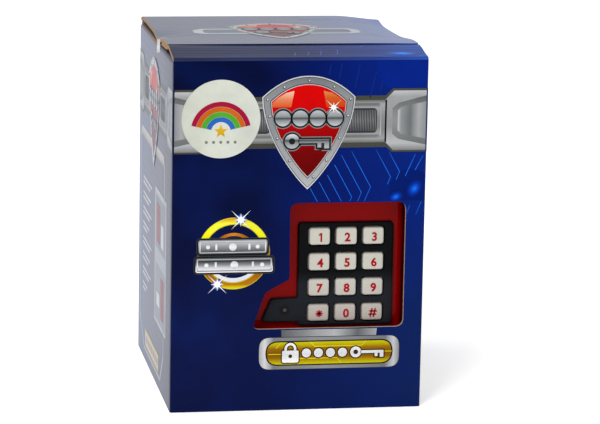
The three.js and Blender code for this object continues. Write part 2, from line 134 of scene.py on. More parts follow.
def stroke(points, width):
    """The outline of an open line with mitred corners."""
    line = [Vector(p) for p in points]
    left, right = [], []
    for i, p in enumerate(line):
        ahead = (line[min(i + 1, len(line) - 1)] - line[max(i - 1, 0)]).normalized()
        if 0 < i < len(line) - 1:
            into = (p - line[i - 1]).normalized()
            reach = width / 2 / max(0.4, ahead.dot(into))
        else:
            reach = width / 2
        side = Vector((-ahead.y, ahead.x)) * reach
        left.append(tuple(p + side))
        right.append(tuple(p - side))
    return left + right[::-1]


def arc(u, v, radius, start, end, steps):
    """Points along an arc, from one angle to another in degrees."""
    angles = [math.radians(start + (end - start) * k / steps) for k in range(steps + 1)]
    return [(u + radius * math.cos(a), v + radius * math.sin(a)) for a in angles]


def scaled(outline, u, v, factor, factor_v=None):
    fv = factor if factor_v is None else factor_v
    return [(u + (x - u) * factor, v + (y - v) * fv) for x, y in outline]


def mirrored(outline, u):
    return [(2 * u - x, y) for x, y in outline][::-1]


def offset(outline, amount):
    """The outline moved outward by this much, with repeated points dropped."""
    loop = [Vector(p) for p, q in zip(outline, outline[1:] + outline[:1]) if math.dist(p, q) > 1e-5]
    area = sum(a.x * b.y - b.x * a.y for a, b in zip(loop, loop[1:] + loop[:1]))
    sign = math.copysign(1, area)
    moved = []
    for before, here, after in zip(loop[-1:] + loop[:-1], loop, loop[1:] + loop[:1]):
        n1, n2 = (Vector((e.y, -e.x)).normalized() * sign for e in (here - before, after - here))
        side = (n1 + n2).normalized()
        moved.append(tuple(here + side * (amount / max(0.5, side.dot(n1)))))
    return moved


# Where a flat outline goes
# -------------------------

def on_front(u, v, out):
    return (u, FRONT_Y - out, v)


def on_lid(u, v, out):
    """v runs to the back, and is 163.3 more than the place along Y, as the shield is drawn."""
    y = v - LID_SHIFT
    return (u, y, lid_height(u, y) + out)


def on_flap(u, v, out):
    """v is the distance behind the front of the carton."""
    return (u, FRONT_Y + v, flap_height(u, v) + out)


# Meshes
# ------

def linked(name, data):
    """A new object in the scene."""
    made = bpy.data.objects.new(name, data)
    bpy.context.scene.collection.objects.link(made)
    return made


def mesh_piece(name, verts, faces, materials, body, smooth=False, kinds=None):
    """One closed mesh piece from millimetre vertices, riding on a body; kinds picks materials."""
    mesh = bpy.data.meshes.new(name)
    mesh.from_pydata([tuple(c * MM for c in v) for v in verts], [], faces)
    if kinds:
        mesh.polygons.foreach_set("material_index", kinds)
    bm = bmesh.new()
    bm.from_mesh(mesh)
    bmesh.ops.remove_doubles(bm, verts=bm.verts, dist=1e-7)
    bmesh.ops.recalc_face_normals(bm, faces=bm.faces)
    for face in bm.faces:
        face.smooth = smooth
    bm.to_mesh(mesh)
    bm.free()
    for material in materials if isinstance(materials, list) else [materials]:
        mesh.materials.append(material)
    piece = linked(name, mesh)
    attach(piece, body)
    return piece


def prism_faces(loops, low, high, place, verts, faces):
    """Adds one closed slab: loops[0] is its outline and the others are holes."""
    first = len(verts)
    total = sum(map(len, loops))
    for out in (high, low):
        verts.extend(place(u, v, out) for loop in loops for u, v in loop)
    for a, b, c in tessellate_polygon([[Vector((u, v, 0)) for u, v in loop] for loop in loops]):
        faces.append((first + a, first + b, first + c))
        faces.append((first + total + c, first + total + b, first + total + a))
    for loop in loops:
        ring = list(range(first, first + len(loop)))
        faces.extend((a, b, b + total, a + total) for a, b in zip(ring, ring[1:] + ring[:1]))
        first += len(loop)


def slabs(name, shapes, low, high, place, material, body):
    """A piece of flat slabs, each given as an outline and its holes."""
    verts, faces = [], []
    for loops in shapes:
        prism_faces(loops, low, high, place, verts, faces)
    return mesh_piece(name, verts, faces, material, body)


def tube(rings):
    """The vertices and faces of a closed form through rings of equal size."""
    size = len(rings[0])
    verts = [point for ring in rings for point in ring]
    faces = [(a + k, a + (k + 1) % size, a + size + (k + 1) % size, a + size + k)
             for a in range(0, len(verts) - size, size) for k in range(size)]
    return verts, faces + [tuple(range(size)), tuple(range(len(verts) - size, len(verts)))]


def lofted(name, loops, rings, place, material, body, sharp):
    """A closed moulding: rings are (inset, out) steps; loops[0] is its outline, the rest holes."""
    def moved(inset):
        return [offset(loop, inset if k else -inset) for k, loop in enumerate(loops)]
    verts = [place(u, v, out) for inset, out in rings for loop in moved(inset) for u, v in loop]
    sizes = [len(loop) for loop in moved(0)]
    total = sum(sizes)
    faces = []
    for low in range(0, total * (len(rings) - 1), total):
        first = low
        for size in sizes:
            ring = list(range(first, first + size))
            faces += [(p, q, q + total, p + total) for p, q in zip(ring, ring[1:] + ring[:1])]
            first += size
    for start, inset in ((0, rings[0][0]), (total * (len(rings) - 1), rings[-1][0])):
        flat = [[Vector((u, v, 0)) for u, v in loop] for loop in moved(inset)]
        faces += [tuple(start + i for i in face) for face in tessellate_polygon(flat)]
    piece = mesh_piece(name, verts, faces, material, body)
    sharpen(piece, sharp)
    return piece


# Materials
# ---------

def linear(code):
    """A colour written as RRGGBB, in linear light."""
    parts = [int(code[i:i + 2], 16) / 255 for i in (0, 2, 4)]
    return [c / 12.92 if c <= 0.04045 else ((c + 0.055) / 1.055) ** 2.4 for c in parts] + [1.0]


class Nodes:
    """A material's node tree with short ways to add what the recipes below repeat."""

    def __init__(self, name, roughness=0.4, metallic=0.0, specular=0.5):
        self.material = bpy.data.materials.new(name)
        self.material.use_nodes = True
        self.tree = self.material.node_tree
        self.shader = self.tree.nodes["Principled BSDF"].inputs
        self.shader["Roughness"].default_value = roughness
        self.shader["Metallic"].default_value = metallic
        self.shader["Specular IOR Level"].default_value = specular
        self.place = self.add("TexCoord").outputs["Object"]
        self.axis = dict(zip("XYZ", self.add("SeparateXYZ", {0: self.place}).outputs))

    def put(self, value, socket):
        if isinstance(value, (int, float, list, tuple)):
            socket.default_value = value
        else:
            self.tree.links.new(value, socket)

    def add(self, kind, inputs=None, **settings):
        """A node of this kind, with values or links put into its inputs."""
        node = self.tree.nodes.new("ShaderNode" + kind)
        for name, value in settings.items():
            setattr(node, name, value)
        for name, value in (inputs or {}).items():
            self.put(value, node.inputs[name])
        return node

    def math(self, operation, a, b=0.0):
        return self.add("Math", {0: a, 1: b}, operation=operation).outputs[0]

    def along(self, axis, start, end):
        """0 to 1 as the axis runs from start to end, in millimetres."""
        return self.add("MapRange", {"Value": self.axis[axis], "From Min": start * MM,
                                     "From Max": end * MM}).outputs[0]

    def ramp(self, factor, run):
        """Colours along a factor, written as "place code, place code", with places in percent."""
        node = self.add("ValToRGB", {0: factor})
        elements = node.color_ramp.elements
        stops = [stop.split() for stop in run.split(",")]
        while len(elements) < len(stops):
            elements.new(0.5)
        for element, (place, code) in zip(elements, stops):
            element.position = float(place) / 100
            element.color = linear(code)
        return node.outputs[0]

    def noise(self, size, detail=3.0, stretch=(1, 1, 1)):
        """Noise whose blotches are about size millimetres."""
        mapping = self.add("Mapping", {0: self.place, "Scale": stretch})
        return self.add("TexNoise", {"Vector": mapping.outputs[0], "Scale": 1 / (size * MM),
                                     "Detail": detail}).outputs["Fac"]

    def mix(self, factor, a, b, blend="MIX"):
        return self.add("Mix", data_type="RGBA", blend_type=blend,
                        inputs={0: factor, 6: a, 7: b}).outputs[2]

    def wave(self, axis, pitch):
        """A sine of the axis, with this pitch in millimetres."""
        return self.math("SINE", self.math("MULTIPLY", self.axis[axis], 2 * math.pi / (pitch * MM)))

    def times(self, a, b):
        return self.math("MULTIPLY", a, b)

    def color(self, value):
        self.put(value, self.shader["Base Color"])

    def uneven(self, least, spread, size, detail=3.0):
        """Roughness that varies in patches of about size millimetres."""
        rough = self.math("ADD", least, self.times(self.noise(size, detail), spread))
        self.put(rough, self.shader["Roughness"])

    def bump(self, height, depth):
        """Bump from a height of about -1 to 1; depth in millimetres."""
        node = self.add("Bump", {"Strength": 1.0, "Distance": depth * MM, "Height": height})
        self.put(node.outputs[0], self.shader["Normal"])

    def board_relief(self, axis, depth=0.035):
        """The washboard of the flutes under the liner, with a little unevenness."""
        uneven = self.noise(9, 2.0)
        height = self.times(self.wave(axis, FLUTE), uneven)
        height = self.math("ADD", height, self.times(uneven, 2.5))
        paper = self.times(self.noise(0.7, 4.0), 0.25)
        self.bump(self.math("ADD", height, paper), depth)


def window_edge():
    """The window's cut edge: white liner in front, then the brown core."""
    n = Nodes("board_window_edge", 0.8)
    base = n.ramp(n.along("Y", FRONT_Y, FRONT_Y + BOARD),
                  "0 EDEDE8, 22 D9D4C8, 30 A98C64, 100 8A6B45")
    n.color(n.mix(0.4, base, n.ramp(n.noise(2, 4.0), "30 B8B8B8, 70 FFFFFF"), "MULTIPLY"))
    n.uneven(0.75, 0.1, 6)
    return n.material


def printed_blue():
    """The carton's ground: navy at the left and the bottom, cobalt at the upper right."""
    n = Nodes("carton_print_blue", 0.38, specular=FRONT_GLOSS)
    across = n.along("X", -HALF_WIDTH, HALF_WIDTH)
    up = n.along("Z", 0, FOLD_Z)
    low = n.ramp(across, "0 070F36, 45 06113E, 80 07174A, 100 081B4C")
    high = n.ramp(across, "0 000320, 35 00062C, 70 001662, 100 001C6E")
    rise = n.ramp(up, "0 000000, 25 303030, 60 E0E0E0, 100 FFFFFF")
    base = n.mix(rise, low, high)
    cloud = n.ramp(n.noise(38, 2.0), "42 000000, 75 FFFFFF")
    base = n.mix(n.times(cloud, 0.2), base, linear("082676"))
    n.color(base)
    n.board_relief("Z")
    return n.material


def varnished(name, roughness, gloss, axis, run, blotch, stretch, streaks, share, tone,
              flutes="Y", depth=0.05):
    """Printed ground that changes along an axis and is streaked along the flutes."""
    n = Nodes(name, roughness, specular=gloss)
    half = HALF_WIDTH if axis == "X" else BACK_Y
    streak = n.ramp(n.noise(blotch, 3.0, stretch), streaks)
    base = n.ramp(n.along(axis, -half, half), run)
    n.color(n.mix(n.times(streak, share), base, linear(tone)))
    n.board_relief(flutes, depth)
    return n.material


def kraft(name, tone="8A6A45", edge=False):
    """Unprinted brown board; on cut edges the fluted core shows as a fine wave, its dark bands
    painted shade in the hollows between the flutes.
    """
    n = Nodes(name, 0.85, specular=0.2)
    fibres = n.noise(1.2, 6.0, (1, 0.25, 1))
    base = n.mix(n.times(fibres, 0.5), linear(tone), linear("B99468"))
    if edge:
        # painted shade: the dark bands of this wave stand for the shaded hollows between the flutes
        flutes = n.times(n.math("ADD", n.wave("Y", FLUTE / 2), 1.0), 0.35)
        base = n.mix(flutes, base, linear("3D2B18"))
    n.color(base)
    n.bump(n.noise(0.8, 5.0), 0.05)
    return n.material


def plastic(name, code, roughness=0.3, texture=0.25, depth=0.02, specular=0.5):
    """Moulded plastic: fine texture, slight mottle and uneven gloss."""
    n = Nodes(name, roughness, specular=specular)
    base = linear(code)
    low = [c * 0.88 for c in base[:3]] + [1.0]
    n.color(n.mix(n.noise(18, 3.0), low, base))
    n.uneven(roughness - 0.04, 0.1, 4, 5.0)
    n.bump(n.noise(texture, 3.0), depth)
    return n.material


FRONT_GLOSS = 0.03
SIDE_GLOSS = 0.13
LID_GLOSS = 0.44
BLUE = printed_blue()
# partly print, partly painted glare: the walls' blue is greyed and paled, standing in for the sheen
# of a light grazing them
SIDE_BLUE_AND_GLARE = varnished(
    "carton_print_sides_and_glare", 0.34, SIDE_GLOSS, "Y",
    "0 101834, 10 262E48, 30 40485E, 60 474F66, 100 4E5A7C", 5, (1, 1.2, 0.15),
    "30 000000, 80 FFFFFF", 0.25, "666C7E", "Z", 0.045)
# partly print, partly painted glare: the lid's blue is greyed, standing in for the sheen of light
# grazing the top
LID_PRINT_AND_GLARE = varnished(
    "lid_print_and_glare", 0.36, LID_GLOSS, "X", "0 5E6476, 60 666C82, 100 6276AC", 3.5, (0.1, 1.4, 1),
    "30 000000, 80 FFFFFF", 0.2, "888EA0")
FLAP_PRINT = varnished(
    "flap_print", 0.42, 0.16, "X", "0 141C3C, 50 101E4C, 80 12327C, 100 1848A0", 2.2,
    (0.06, 1.6, 1), "35 000000, 70 FFFFFF", 0.3, "333C62")
KRAFT = kraft("board_inside")
EDGE = kraft("board_edge", "9C7A50", edge=True)
WHITE_EDGE = window_edge()


# The carton's board
# ------------------

def wall_points():
    """Pairs of an outer and an inner point round the four walls, from the front right corner."""
    inner_radius, steps, span = 0.3, 4, 7.5

    def pair(cx, cy, angle):
        return [(cx * (HALF_WIDTH - inset) + radius * math.cos(angle),
                 cy * (BACK_Y - inset) + radius * math.sin(angle))
                for inset, radius in ((FOLD_CORNER, FOLD_CORNER),
                                      (BOARD + inner_radius, inner_radius))]
    ring = [pair(cx, cy, math.radians(turn + 90 * k / steps))
            for cx, cy, turn in ((1, -1, -90), (1, 1, 0), (-1, 1, 90), (-1, -1, 180))
            for k in range(steps + 1)]
    points = []
    for here, ahead in zip(ring, ring[1:] + ring[:1]):
        count = max(1, round(math.dist(here[0], ahead[0]) / span))
        points += [[[a + (b - a) * k / count for a, b in zip(p, q)] for p, q in zip(here, ahead)]
                   for k in range(count)]
    return points


def wall_top(x, y):
    """How high the walls reach: to the lid at the back, to the flap in front."""
    if y < -BACK_Y + FOLD_CORNER + 0.01:
        return FRONT_FOLD
    if y > 0 and abs(x) < HALF_WIDTH - FOLD_CORNER + 0.01:
        return lid_height(x, BACK_Y - FOLD_RADIUS) - FOLD_RADIUS
    return SIDE_TOP


def wall_material(centre, normal):
    """Which of the sleeve's materials a face takes, from where it lies and where it looks."""
    x, y, z = (c / MM for c in centre)
    core = BOARD * 0.6
    if abs(normal.z) > 0.7 and (z > SIDE_TOP - 1 or z < 1):
        return 2
    if y < FRONT_Y + BOARD + 0.2 and abs(normal.y) < 0.5 and abs(x) < HALF_WIDTH - 4:
        return 3
    looks_in = normal.x * x < 0 and abs(normal.x) > 0.5 or normal.y * y < 0 and abs(normal.y) > 0.5
    if abs(x) < HALF_WIDTH - core and abs(y) < BACK_Y - core and looks_in:
        return 1
    return 4 if abs(normal.x) > 0.75 else 0


def sleeve():
    """Four walls folded from one sheet, with rounded folds and the window cut through."""
    points = wall_points()
    rows, count = 28, len(points)
    verts = [(*pair[shell], wall_top(*pair[0]) * row / rows)
             for shell in (0, 1) for row in range(rows + 1) for pair in points]

    def at(shell, row, k):
        return (shell * (rows + 1) + row) * count + k % count
    faces = []
    for k in range(count):
        faces += [(at(shell, row, k), at(shell, row, k + 1), at(shell, row + 1, k + 1),
                   at(shell, row + 1, k)) for shell in (0, 1) for row in range(rows)]
        faces += [(at(0, row, k), at(0, row, k + 1), at(1, row, k + 1), at(1, row, k))
                  for row in (0, rows)]
    piece = mesh_piece("carton_sleeve", verts, faces,
                       [BLUE, KRAFT, EDGE, WHITE_EDGE, SIDE_BLUE_AND_GLARE], "carton", True)
    cutter = slabs("window_cutter", [[window_outline()]], -BOARD - 3, 3, on_front, WHITE_EDGE,
                   "carton")
    boolean = piece.modifiers.new("window", "BOOLEAN")
    boolean.object = cutter
    boolean.solver = "EXACT"
    bpy.context.view_layer.update()
    graph = bpy.context.evaluated_depsgraph_get()
    mesh = bpy.data.meshes.new_from_object(piece.evaluated_get(graph), depsgraph=graph)
    piece.modifiers.clear()
    piece.data = mesh
    bpy.data.objects.remove(cutter)
    for face in mesh.polygons:
        face.material_index = wall_material(face.center, face.normal)
    sharpen(piece, 40)
    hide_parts("carton_front_panel", "carton_left_panel", "carton_right_panel",
                "carton_back_panel")


def sharpen(piece, degrees):
    """Smooth shading with hard edges where faces meet at more than this angle."""
    piece.data.shade_smooth()
    piece.data.set_sharp_from_angle(angle=math.radians(degrees))


def window_outline():
    """The cut-out, a little inside the CAD opening's corners, with its arm at the lower left."""
    return corners([
        (-5.3, 124.6, 5), (-5.0, 79.0, 1.5), (-19.4, 71.4, 3), (-26.8, 49.3, 4.5),
        (63.5, 49.3, 5), (63.5, 124.6, 5)], 8)


def board_sheet(name, width, length, across, along, surface, radius, materials, body, replaced,
                thin=0.0):
    """A flap: a fine grid over width by length with rounded free corners, bent to a surface.

    surface(u, v) gives the outer point; the underside lies one board below along the normal.
    materials are the outside, the underside, the side edges and the free edge; the free edge is
    crushed to a quarter of the board over its last stretch, thin.
    """
    def rounded(u, v):
        s, t = abs(u) - (width / 2 - radius), v - (length - radius)
        if s > 0 and t > 0:
            s, t = s / radius, t / radius
            u = math.copysign(width / 2 - radius + radius * s * math.sqrt(1 - t * t / 2), u)
            v = length - radius + radius * t * math.sqrt(1 - s * s / 2)
        return u, v

    step = 0.05
    tops, unders = [], []
    for b in range(along + 1):
        for a in range(across + 1):
            u, v = rounded((a / across * 2 - 1) * width / 2, b / along * length)
            p = Vector(surface(u, v))
            du = Vector(surface(u + step, v)) - p
            dv = Vector(surface(u, v + step)) - p
            crush = max(0.0, 1 - (length - v) / thin) if thin else 0.0
            tops.append(p)
            unders.append(p - du.cross(dv).normalized() * BOARD * (1 - 0.75 * crush))
    total = len(tops)

    def at(a, b):
        return b * (across + 1) + a
    cells = [(at(a, b), at(a + 1, b), at(a + 1, b + 1), at(a, b + 1))
             for b in range(along) for a in range(across)]
    rim = [at(a, 0) for a in range(across)] + [at(across, b) for b in range(along)]
    rim += [at(a, along) for a in range(across, 0, -1)] + [at(0, b) for b in range(along, 0, -1)]
    faces = cells + [tuple(total + i for i in cell[::-1]) for cell in cells]
    faces += [(p, q, q + total, p + total) for p, q in zip(rim, rim[1:] + rim[:1])]
    kinds = [0] * len(cells) + [1] * len(cells) + [2] * len(rim)
    free = 2 * len(cells) + across + along
    kinds[free:free + across] = [3] * across
    piece = mesh_piece(name, tops + unders, faces, materials, body, kinds=kinds)
    sharpen(piece, 50)
    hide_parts(*replaced)


FLAP_LENGTH = FLAP_HIGH[1] - FLAP_LOW[1]
LID_LENGTH = LID_HIGH[1] - LID_LOW[1]
LID_FRONT = LID_LOW[1]
FOLD_TURN = 2.6  # the arc length of a fold
FOLD_RADIUS = FOLD_TURN * 2 / math.pi
CRUSHED = 7.0  # how far the lid's free edge is crushed


def flap_height(x, back):
    """The front flap's top at a distance behind the front of the carton."""
    swell = math.sin(math.pi * min(1.0, back / 50)) ** 0.8 if 0 < back < 50 else 0.0
    bulge = (0.4 + (0.9 if x < 0 else 0.0) * (abs(x) / HALF_WIDTH) ** 3) * swell
    rim = FRONT_FOLD + FOLD_RADIUS
    if back < FOLD_RADIUS:
        return rim - FOLD_RADIUS + math.sqrt(max(0.0, FOLD_RADIUS ** 2 - (FOLD_RADIUS - back) ** 2))
    own = rim + 2.7 * ease((back - FOLD_RADIUS) / 27) + bulge
    y = FRONT_Y + back
    return min(own, lid_under(x, y) - 0.06) if y > LID_FRONT - 1 else own


def flap_surface(u, v):
    """v is the length along the sheet: up out of the fold, then back under the lid."""
    if v < FOLD_TURN:
        turn = v / FOLD_RADIUS
        return (u, FRONT_Y + FOLD_RADIUS * (1 - math.cos(turn)),
                FRONT_FOLD + FOLD_RADIUS * math.sin(turn))
    back = v - FOLD_TURN + FOLD_RADIUS
    return (u, FRONT_Y + back, flap_height(u, back))


def lid_height(x, y):
    """The lid's top: a fold at the back, a front edge riding on the flap, a drooping right side."""
    fold = 1.6 * ease((BACK_Y - y) / 12) - 1.6
    front = 1.1 * ease((LID_FRONT + 45 - y) / 45)
    dip = -2.4 * math.exp(-((x + HALF_WIDTH) / 12) ** 2 - ((y + 4) / 13) ** 2)
    along = ease((BACK_Y - y) / 30) * (1 - 0.85 * ease((10 - y) / 50))
    droop = -2.6 * ease((x - 42) / 40) * along - 2.4 * ease((x - 46) / 34) * ease((y + 40) / 100)
    return LID_HIGH[2] + fold + front + dip + droop


def lid_under(x, y):
    """The lid's underside; its board is crushed thin towards the front edge."""
    crush = max(0.0, 1 - (y - LID_FRONT) / CRUSHED)
    return lid_height(x, y) - BOARD * (1 - 0.75 * min(1.0, crush))


def lid_surface(u, v):
    if v < FOLD_TURN:
        turn = v / FOLD_RADIUS
        z = lid_height(-u, BACK_Y - FOLD_RADIUS)
        return (-u, BACK_Y - FOLD_RADIUS * (1 - math.cos(turn)),
                z - FOLD_RADIUS * (1 - math.sin(turn)))
    y = BACK_Y - (v - FOLD_TURN + FOLD_RADIUS)
    return (-u, y, lid_height(-u, y))


def dust_surface(side):
    """A dust flap: out of the side wall, over its fold and inward, just under the lid."""
    start = SIDE_TOP - 0.1
    wall = HALF_WIDTH - 0.06
    radius = 1.3
    turn = radius * math.pi / 2

    def surface(u, v):
        y = side * u
        under = lid_height(side * HALF_WIDTH, y) - BOARD - 0.25
        top = min(206.9 + 1.3 * ease((60 - y) / 140), under)
        rise = max(0.05, top - radius - start)
        if v < rise:
            return (side * wall, y, start + v)
        if v < rise + turn:
            a = (v - rise) / radius
            return (side * (wall - radius * (1 - math.cos(a))), y,
                    start + rise + radius * math.sin(a))
        inward = v - rise - turn
        lift = min(0.8, 208.3 - top) * ease(inward / 30)
        return (side * (wall - radius - inward), y, start + rise + radius + lift)
    return surface


def carton_top():
    """The flaps: dust flaps first, the front flap over them, then the lid on top."""
    for side, name in ((-1, "left"), (1, "right")):
        board_sheet(f"dust_flap_{name}_board",
                    DUST_HIGH[1] - DUST_LOW[1], DUST_HIGH[0] - DUST_LOW[0],
                    40, 60, dust_surface(side), 6, [SIDE_BLUE_AND_GLARE, KRAFT, EDGE, EDGE],
                    f"dust_flap_{name}", [f"carton_dust_flap_{name}"])
    board_sheet("front_flap_board", 2 * FLAP_HIGH[0], FLAP_LENGTH + 1, 40, 40, flap_surface, 2,
                [FLAP_PRINT, KRAFT, EDGE, EDGE], "front_flap", ["carton_front_flap"])
    board_sheet("lid_board", 2 * LID_HIGH[0], LID_LENGTH + 1, 48, 60, lid_surface, 2.5,
                [LID_PRINT_AND_GLARE, KRAFT, EDGE, FLAP_PRINT], "lid", ["carton_lid"], CRUSHED)


def crease(name, start, end, radius=0.85):
    """The creased board inside a fold, which shows as a soft bead when its flap is open."""
    start, end = Vector(start), Vector(end)
    turn = (end - start).to_track_quat("Z", "Y")
    rings = [[p + turn @ Vector((u, v, 0)) for u, v in disc(0, 0, radius, 12)]
             for p in (start, end)]
    mesh_piece(name, *tube(rings), KRAFT, "carton", True)


def creases():
    """One crease along each of the four top folds, hidden in the board while the carton is shut."""
    reach, deep = HALF_WIDTH - 2, BACK_Y - 3
    shut = lid_height(0, BACK_Y - FOLD_RADIUS) - FOLD_RADIUS
    for name, y, z, right in (("crease_front", FRONT_Y + 1.3, FRONT_FOLD + 0.2, reach),
                              ("crease_back", BACK_Y - 1.2, shut + 0.3, reach - 30)):
        crease(name, (-reach, y, z), (right, y, z))
    for side, name in ((-1, "left"), (1, "right")):
        x, z = side * (HALF_WIDTH - 1.1), SIDE_TOP + 0.3
        crease(f"crease_{name}", (x, -deep, z), (x, deep, z))


def seal():
    """Clear tape over the lid's left edge and down the side wall."""
    thick, steps = 0.1, 8
    edge, wall = -LID_HIGH[0] - 0.15, -HALF_WIDTH - 0.15
    rings = []
    for k in range(steps + 1):
        y = -6.0 - 14.5 * k / steps
        top = lid_height(edge, y)
        line = [(edge + 5.5, lid_height(edge + 5.5, y) + 0.1), (edge + 1, top + 0.12),
                (edge - 0.25, top - 0.4), (edge - 0.3, top - 3), (wall, top - 5), (wall, top - 8.5)]
        under = [(x + (thick if i > 1 else 0), z - (thick if i < 2 else 0))
                 for i, (x, z) in enumerate(line)]
        rings.append([(x, y, z) for x, z in line + under[::-1]])
    n = Nodes("clear_tape", 0.18)
    n.color(n.mix(n.noise(3), linear("E4E6E8"), linear("F6F7F8")))
    n.put(n.math("ADD", 0.22, n.times(n.noise(4, 4.0), 0.3)), n.shader["Alpha"])
    n.bump(n.noise(2.5, 3.0), 0.06)
    mesh_piece("lid_tape", *tube(rings), n.material, "lid", True)


def ease(t):
    t = min(1.0, max(0.0, t))
    return t * t * (3 - 2 * t)


FRONT_FOLD = FOLD_Z + 0.1  # where the front wall turns into its flap
sleeve()
carton_top()
creases()
seal()


# Print on the carton
# -------------------

class Face:
    """One face of the carton that carries print: where (u, v, out) lies and which way it runs.

    axes says for u and for v which axis it follows, where it starts and with which sign.
    """

    def __init__(self, place, body, axes, flutes, gloss, slot="printed_board", grid=0.0):
        self.place, self.body, self.axes, self.flutes = place, body, axes, flutes
        self.gloss, self.slot, self.grid = gloss, slot, grid


UP = ("Z", 0, 1)


FRONT = Face(on_front, "carton", (("X", 0, 1), UP), "Z", FRONT_GLOSS)
LEFT = Face(lambda u, v, out: (-HALF_WIDTH - out, BACK_Y - u, v), "carton",
            (("Y", BACK_Y, -1), UP), "Z", SIDE_GLOSS)
RIGHT = Face(lambda u, v, out: (HALF_WIDTH + out, FRONT_Y + u, v), "carton",
             (("Y", FRONT_Y, 1), UP), "Z", SIDE_GLOSS)
BACK = Face(lambda u, v, out: (-u, BACK_Y + out, v), "carton", (("X", 0, -1), UP), "Z",
            FRONT_GLOSS)
LID = Face(on_lid, "lid", (("X", 0, 1), ("Y", -LID_SHIFT, 1)), "Y", LID_GLOSS, "lid_board", 7.0)
FLAP = Face(on_flap, "front_flap", (("X", 0, 1), ("Y", FRONT_Y, 1)), "Y", 0.2, grid=5.0)


class Print:
    """Artwork on one face: thin closed shapes in layers, gathered in one mesh.

    Shapes are drawn about the carton's front, then moved by (du, dv). Higher layers lie over
    lower ones, and each layer has its own ink: a gradient with a little unevenness.
    """
    STEP = 0.04

    def __init__(self, name, face, du=0.0, dv=0.0, first=0, painted_glare=0.0):
        self.name, self.face, self.move, self.first, self.painted_glare = name, face, (du, dv), first, painted_glare
        self.verts, self.faces, self.kinds, self.inks = [], [], [], []

    def add(self, shapes, layer, run, axis="V", span=None, roughness=0.4, thickness=0.03):
        """shapes: lists of loops. run: one colour, or a run of them over span."""
        du, dv = self.move
        level = 0.02 + self.STEP * (self.first + layer)
        before = len(self.faces)
        for loops in shapes:
            prism_faces([[(u + du, v + dv) for u, v in loop] for loop in loops], level,
                        level + thickness, lambda *point: point, self.verts, self.faces)
        which = "UV".index(axis)
        if span is None:
            values = [p[which] for loops in shapes for p in loops[0]]
            span = (min(values), max(values))
        letter, origin, sign = self.face.axes[which]
        start, end = (origin + sign * (value + self.move[which]) for value in span)
        n = Nodes(f"{self.name}_ink_{len(self.inks) + 1}", specular=self.face.gloss)
        base = n.ramp(n.along(letter, start, end), run if " " in run else f"0 {run}, 100 {run}")
        shade = n.ramp(n.noise(11, 4.0), "30 DADADA, 70 E8E8E8")
        base = n.mix(1.0, base, shade, "MULTIPLY")
        # painted glare: the inks are mixed towards a pale grey-blue, standing in for the sheen of a
        # grazing light on the walls and lid
        n.color(n.mix(self.painted_glare, base, linear("6E7588")) if self.painted_glare else base)
        n.uneven(roughness - 0.05, 0.1, 6)
        n.board_relief(self.face.flutes)
        self.kinds += [len(self.inks)] * (len(self.faces) - before)
        self.inks.append(n.material)

    def finish(self):
        """Cuts the shapes where their face bends, lays them on it and makes the piece."""
        mesh = bpy.data.meshes.new(self.name)
        mesh.from_pydata(self.verts, [], self.faces)
        mesh.polygons.foreach_set("material_index", self.kinds)
        bm = bmesh.new()
        bm.from_mesh(mesh)
        for axis in (0, 1) if self.face.grid else ():
            values = [v.co[axis] for v in bm.verts]
            at = min(values) + self.face.grid
            while at < max(values):
                normal = Vector((1 - axis, axis, 0))
                bmesh.ops.bisect_plane(bm, geom=bm.verts[:] + bm.edges[:] + bm.faces[:],
                                       plane_co=normal * at, plane_no=normal)
                at += self.face.grid
        for v in bm.verts:
            v.co = Vector(self.face.place(*v.co)) * MM
        bmesh.ops.recalc_face_normals(bm, faces=bm.faces)
        bm.to_mesh(mesh)
        bm.free()
        for material in self.inks:
            mesh.materials.append(material)
        piece = linked(self.name, mesh)
        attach(piece, self.face.body)


SHIELD_X = 4.4


def shield_outline(inset=0.0, steps=10):
    """A pointed shield: an arched top, square shoulders and curved sides down to the tip."""
    half = 27.4 - inset
    top, shoulder, tip = 199.8 - inset * 0.95, 187.4 - inset * 0.5, 132.8 + inset * 1.35
    right = []
    for k in range(steps + 1):  # the arched top, from the middle to the shoulder
        t = k / steps
        right.append((SHIELD_X + half * t, top - (top - shoulder) * t ** 2.1))
    for k in range(1, steps + 5):  # the side, nearly upright at first, then in to the tip
        t = k / (steps + 5)
        right.append((SHIELD_X + half * (1 - t ** 1.75) ** 0.93, shoulder - (shoulder - tip) * t))
    right.append((SHIELD_X, tip))
    return right + mirrored(right[1:-1], SHIELD_X)


def dot_row(x, z, count, pitch, radius):
    """A row of round dots, as a hidden code is shown."""
    start = x - pitch * (count - 1) / 2
    return [[disc(start + k * pitch, z, radius, 32)] for k in range(count)]


def key_sign(x, z, s):
    """A plain key lying on its side, with its bow at the left."""
    bow = [disc(x - s * 0.62, z, s * 0.3, 40), disc(x - s * 0.62, z, s * 0.13, 24)]
    bar = [(-0.36, 0.08), (-0.36, -0.08), (0.42, -0.08), (0.42, -0.26), (0.58, -0.26),
           (0.58, -0.08), (0.70, -0.08), (0.70, -0.3), (0.9, -0.3), (0.9, 0.08)]
    return [bow, [[(x + a * s, z + b * s) for a, b in bar]]]


def padlock_sign(x, z, s):
    top, foot = z + s * 0.24, z + s * 0.12
    bail = arc(x, top, s * 0.34, 0, 180, 15) + [(x - s * 0.34, foot), (x - s * 0.2, foot)]
    bail += arc(x, top, s * 0.2, 180, 0, 15) + [(x + s * 0.2, foot), (x + s * 0.34, foot)]
    body = rect(x, z - s * 0.22, s * 0.95, s * 0.7, s * 0.1)
    return [[body, disc(x, z - s * 0.2, s * 0.11, 20)], [bail]]


def grown(shapes, amount):
    """Every outline moved outward by this much, and its holes filled, for a dark rim."""
    return [[offset(loops[0], amount)] for loops in shapes]


def glint(x, z, size):
    """A gleam: four long points, four short ones and a small round heart."""
    return ([[star(x, z, size, size * 0.07, 4, math.pi / 4)],
             [star(x, z, size * 0.5, size * 0.1, 4, math.pi / 2)]], [[disc(x, z, size / 4.4, 20)]])


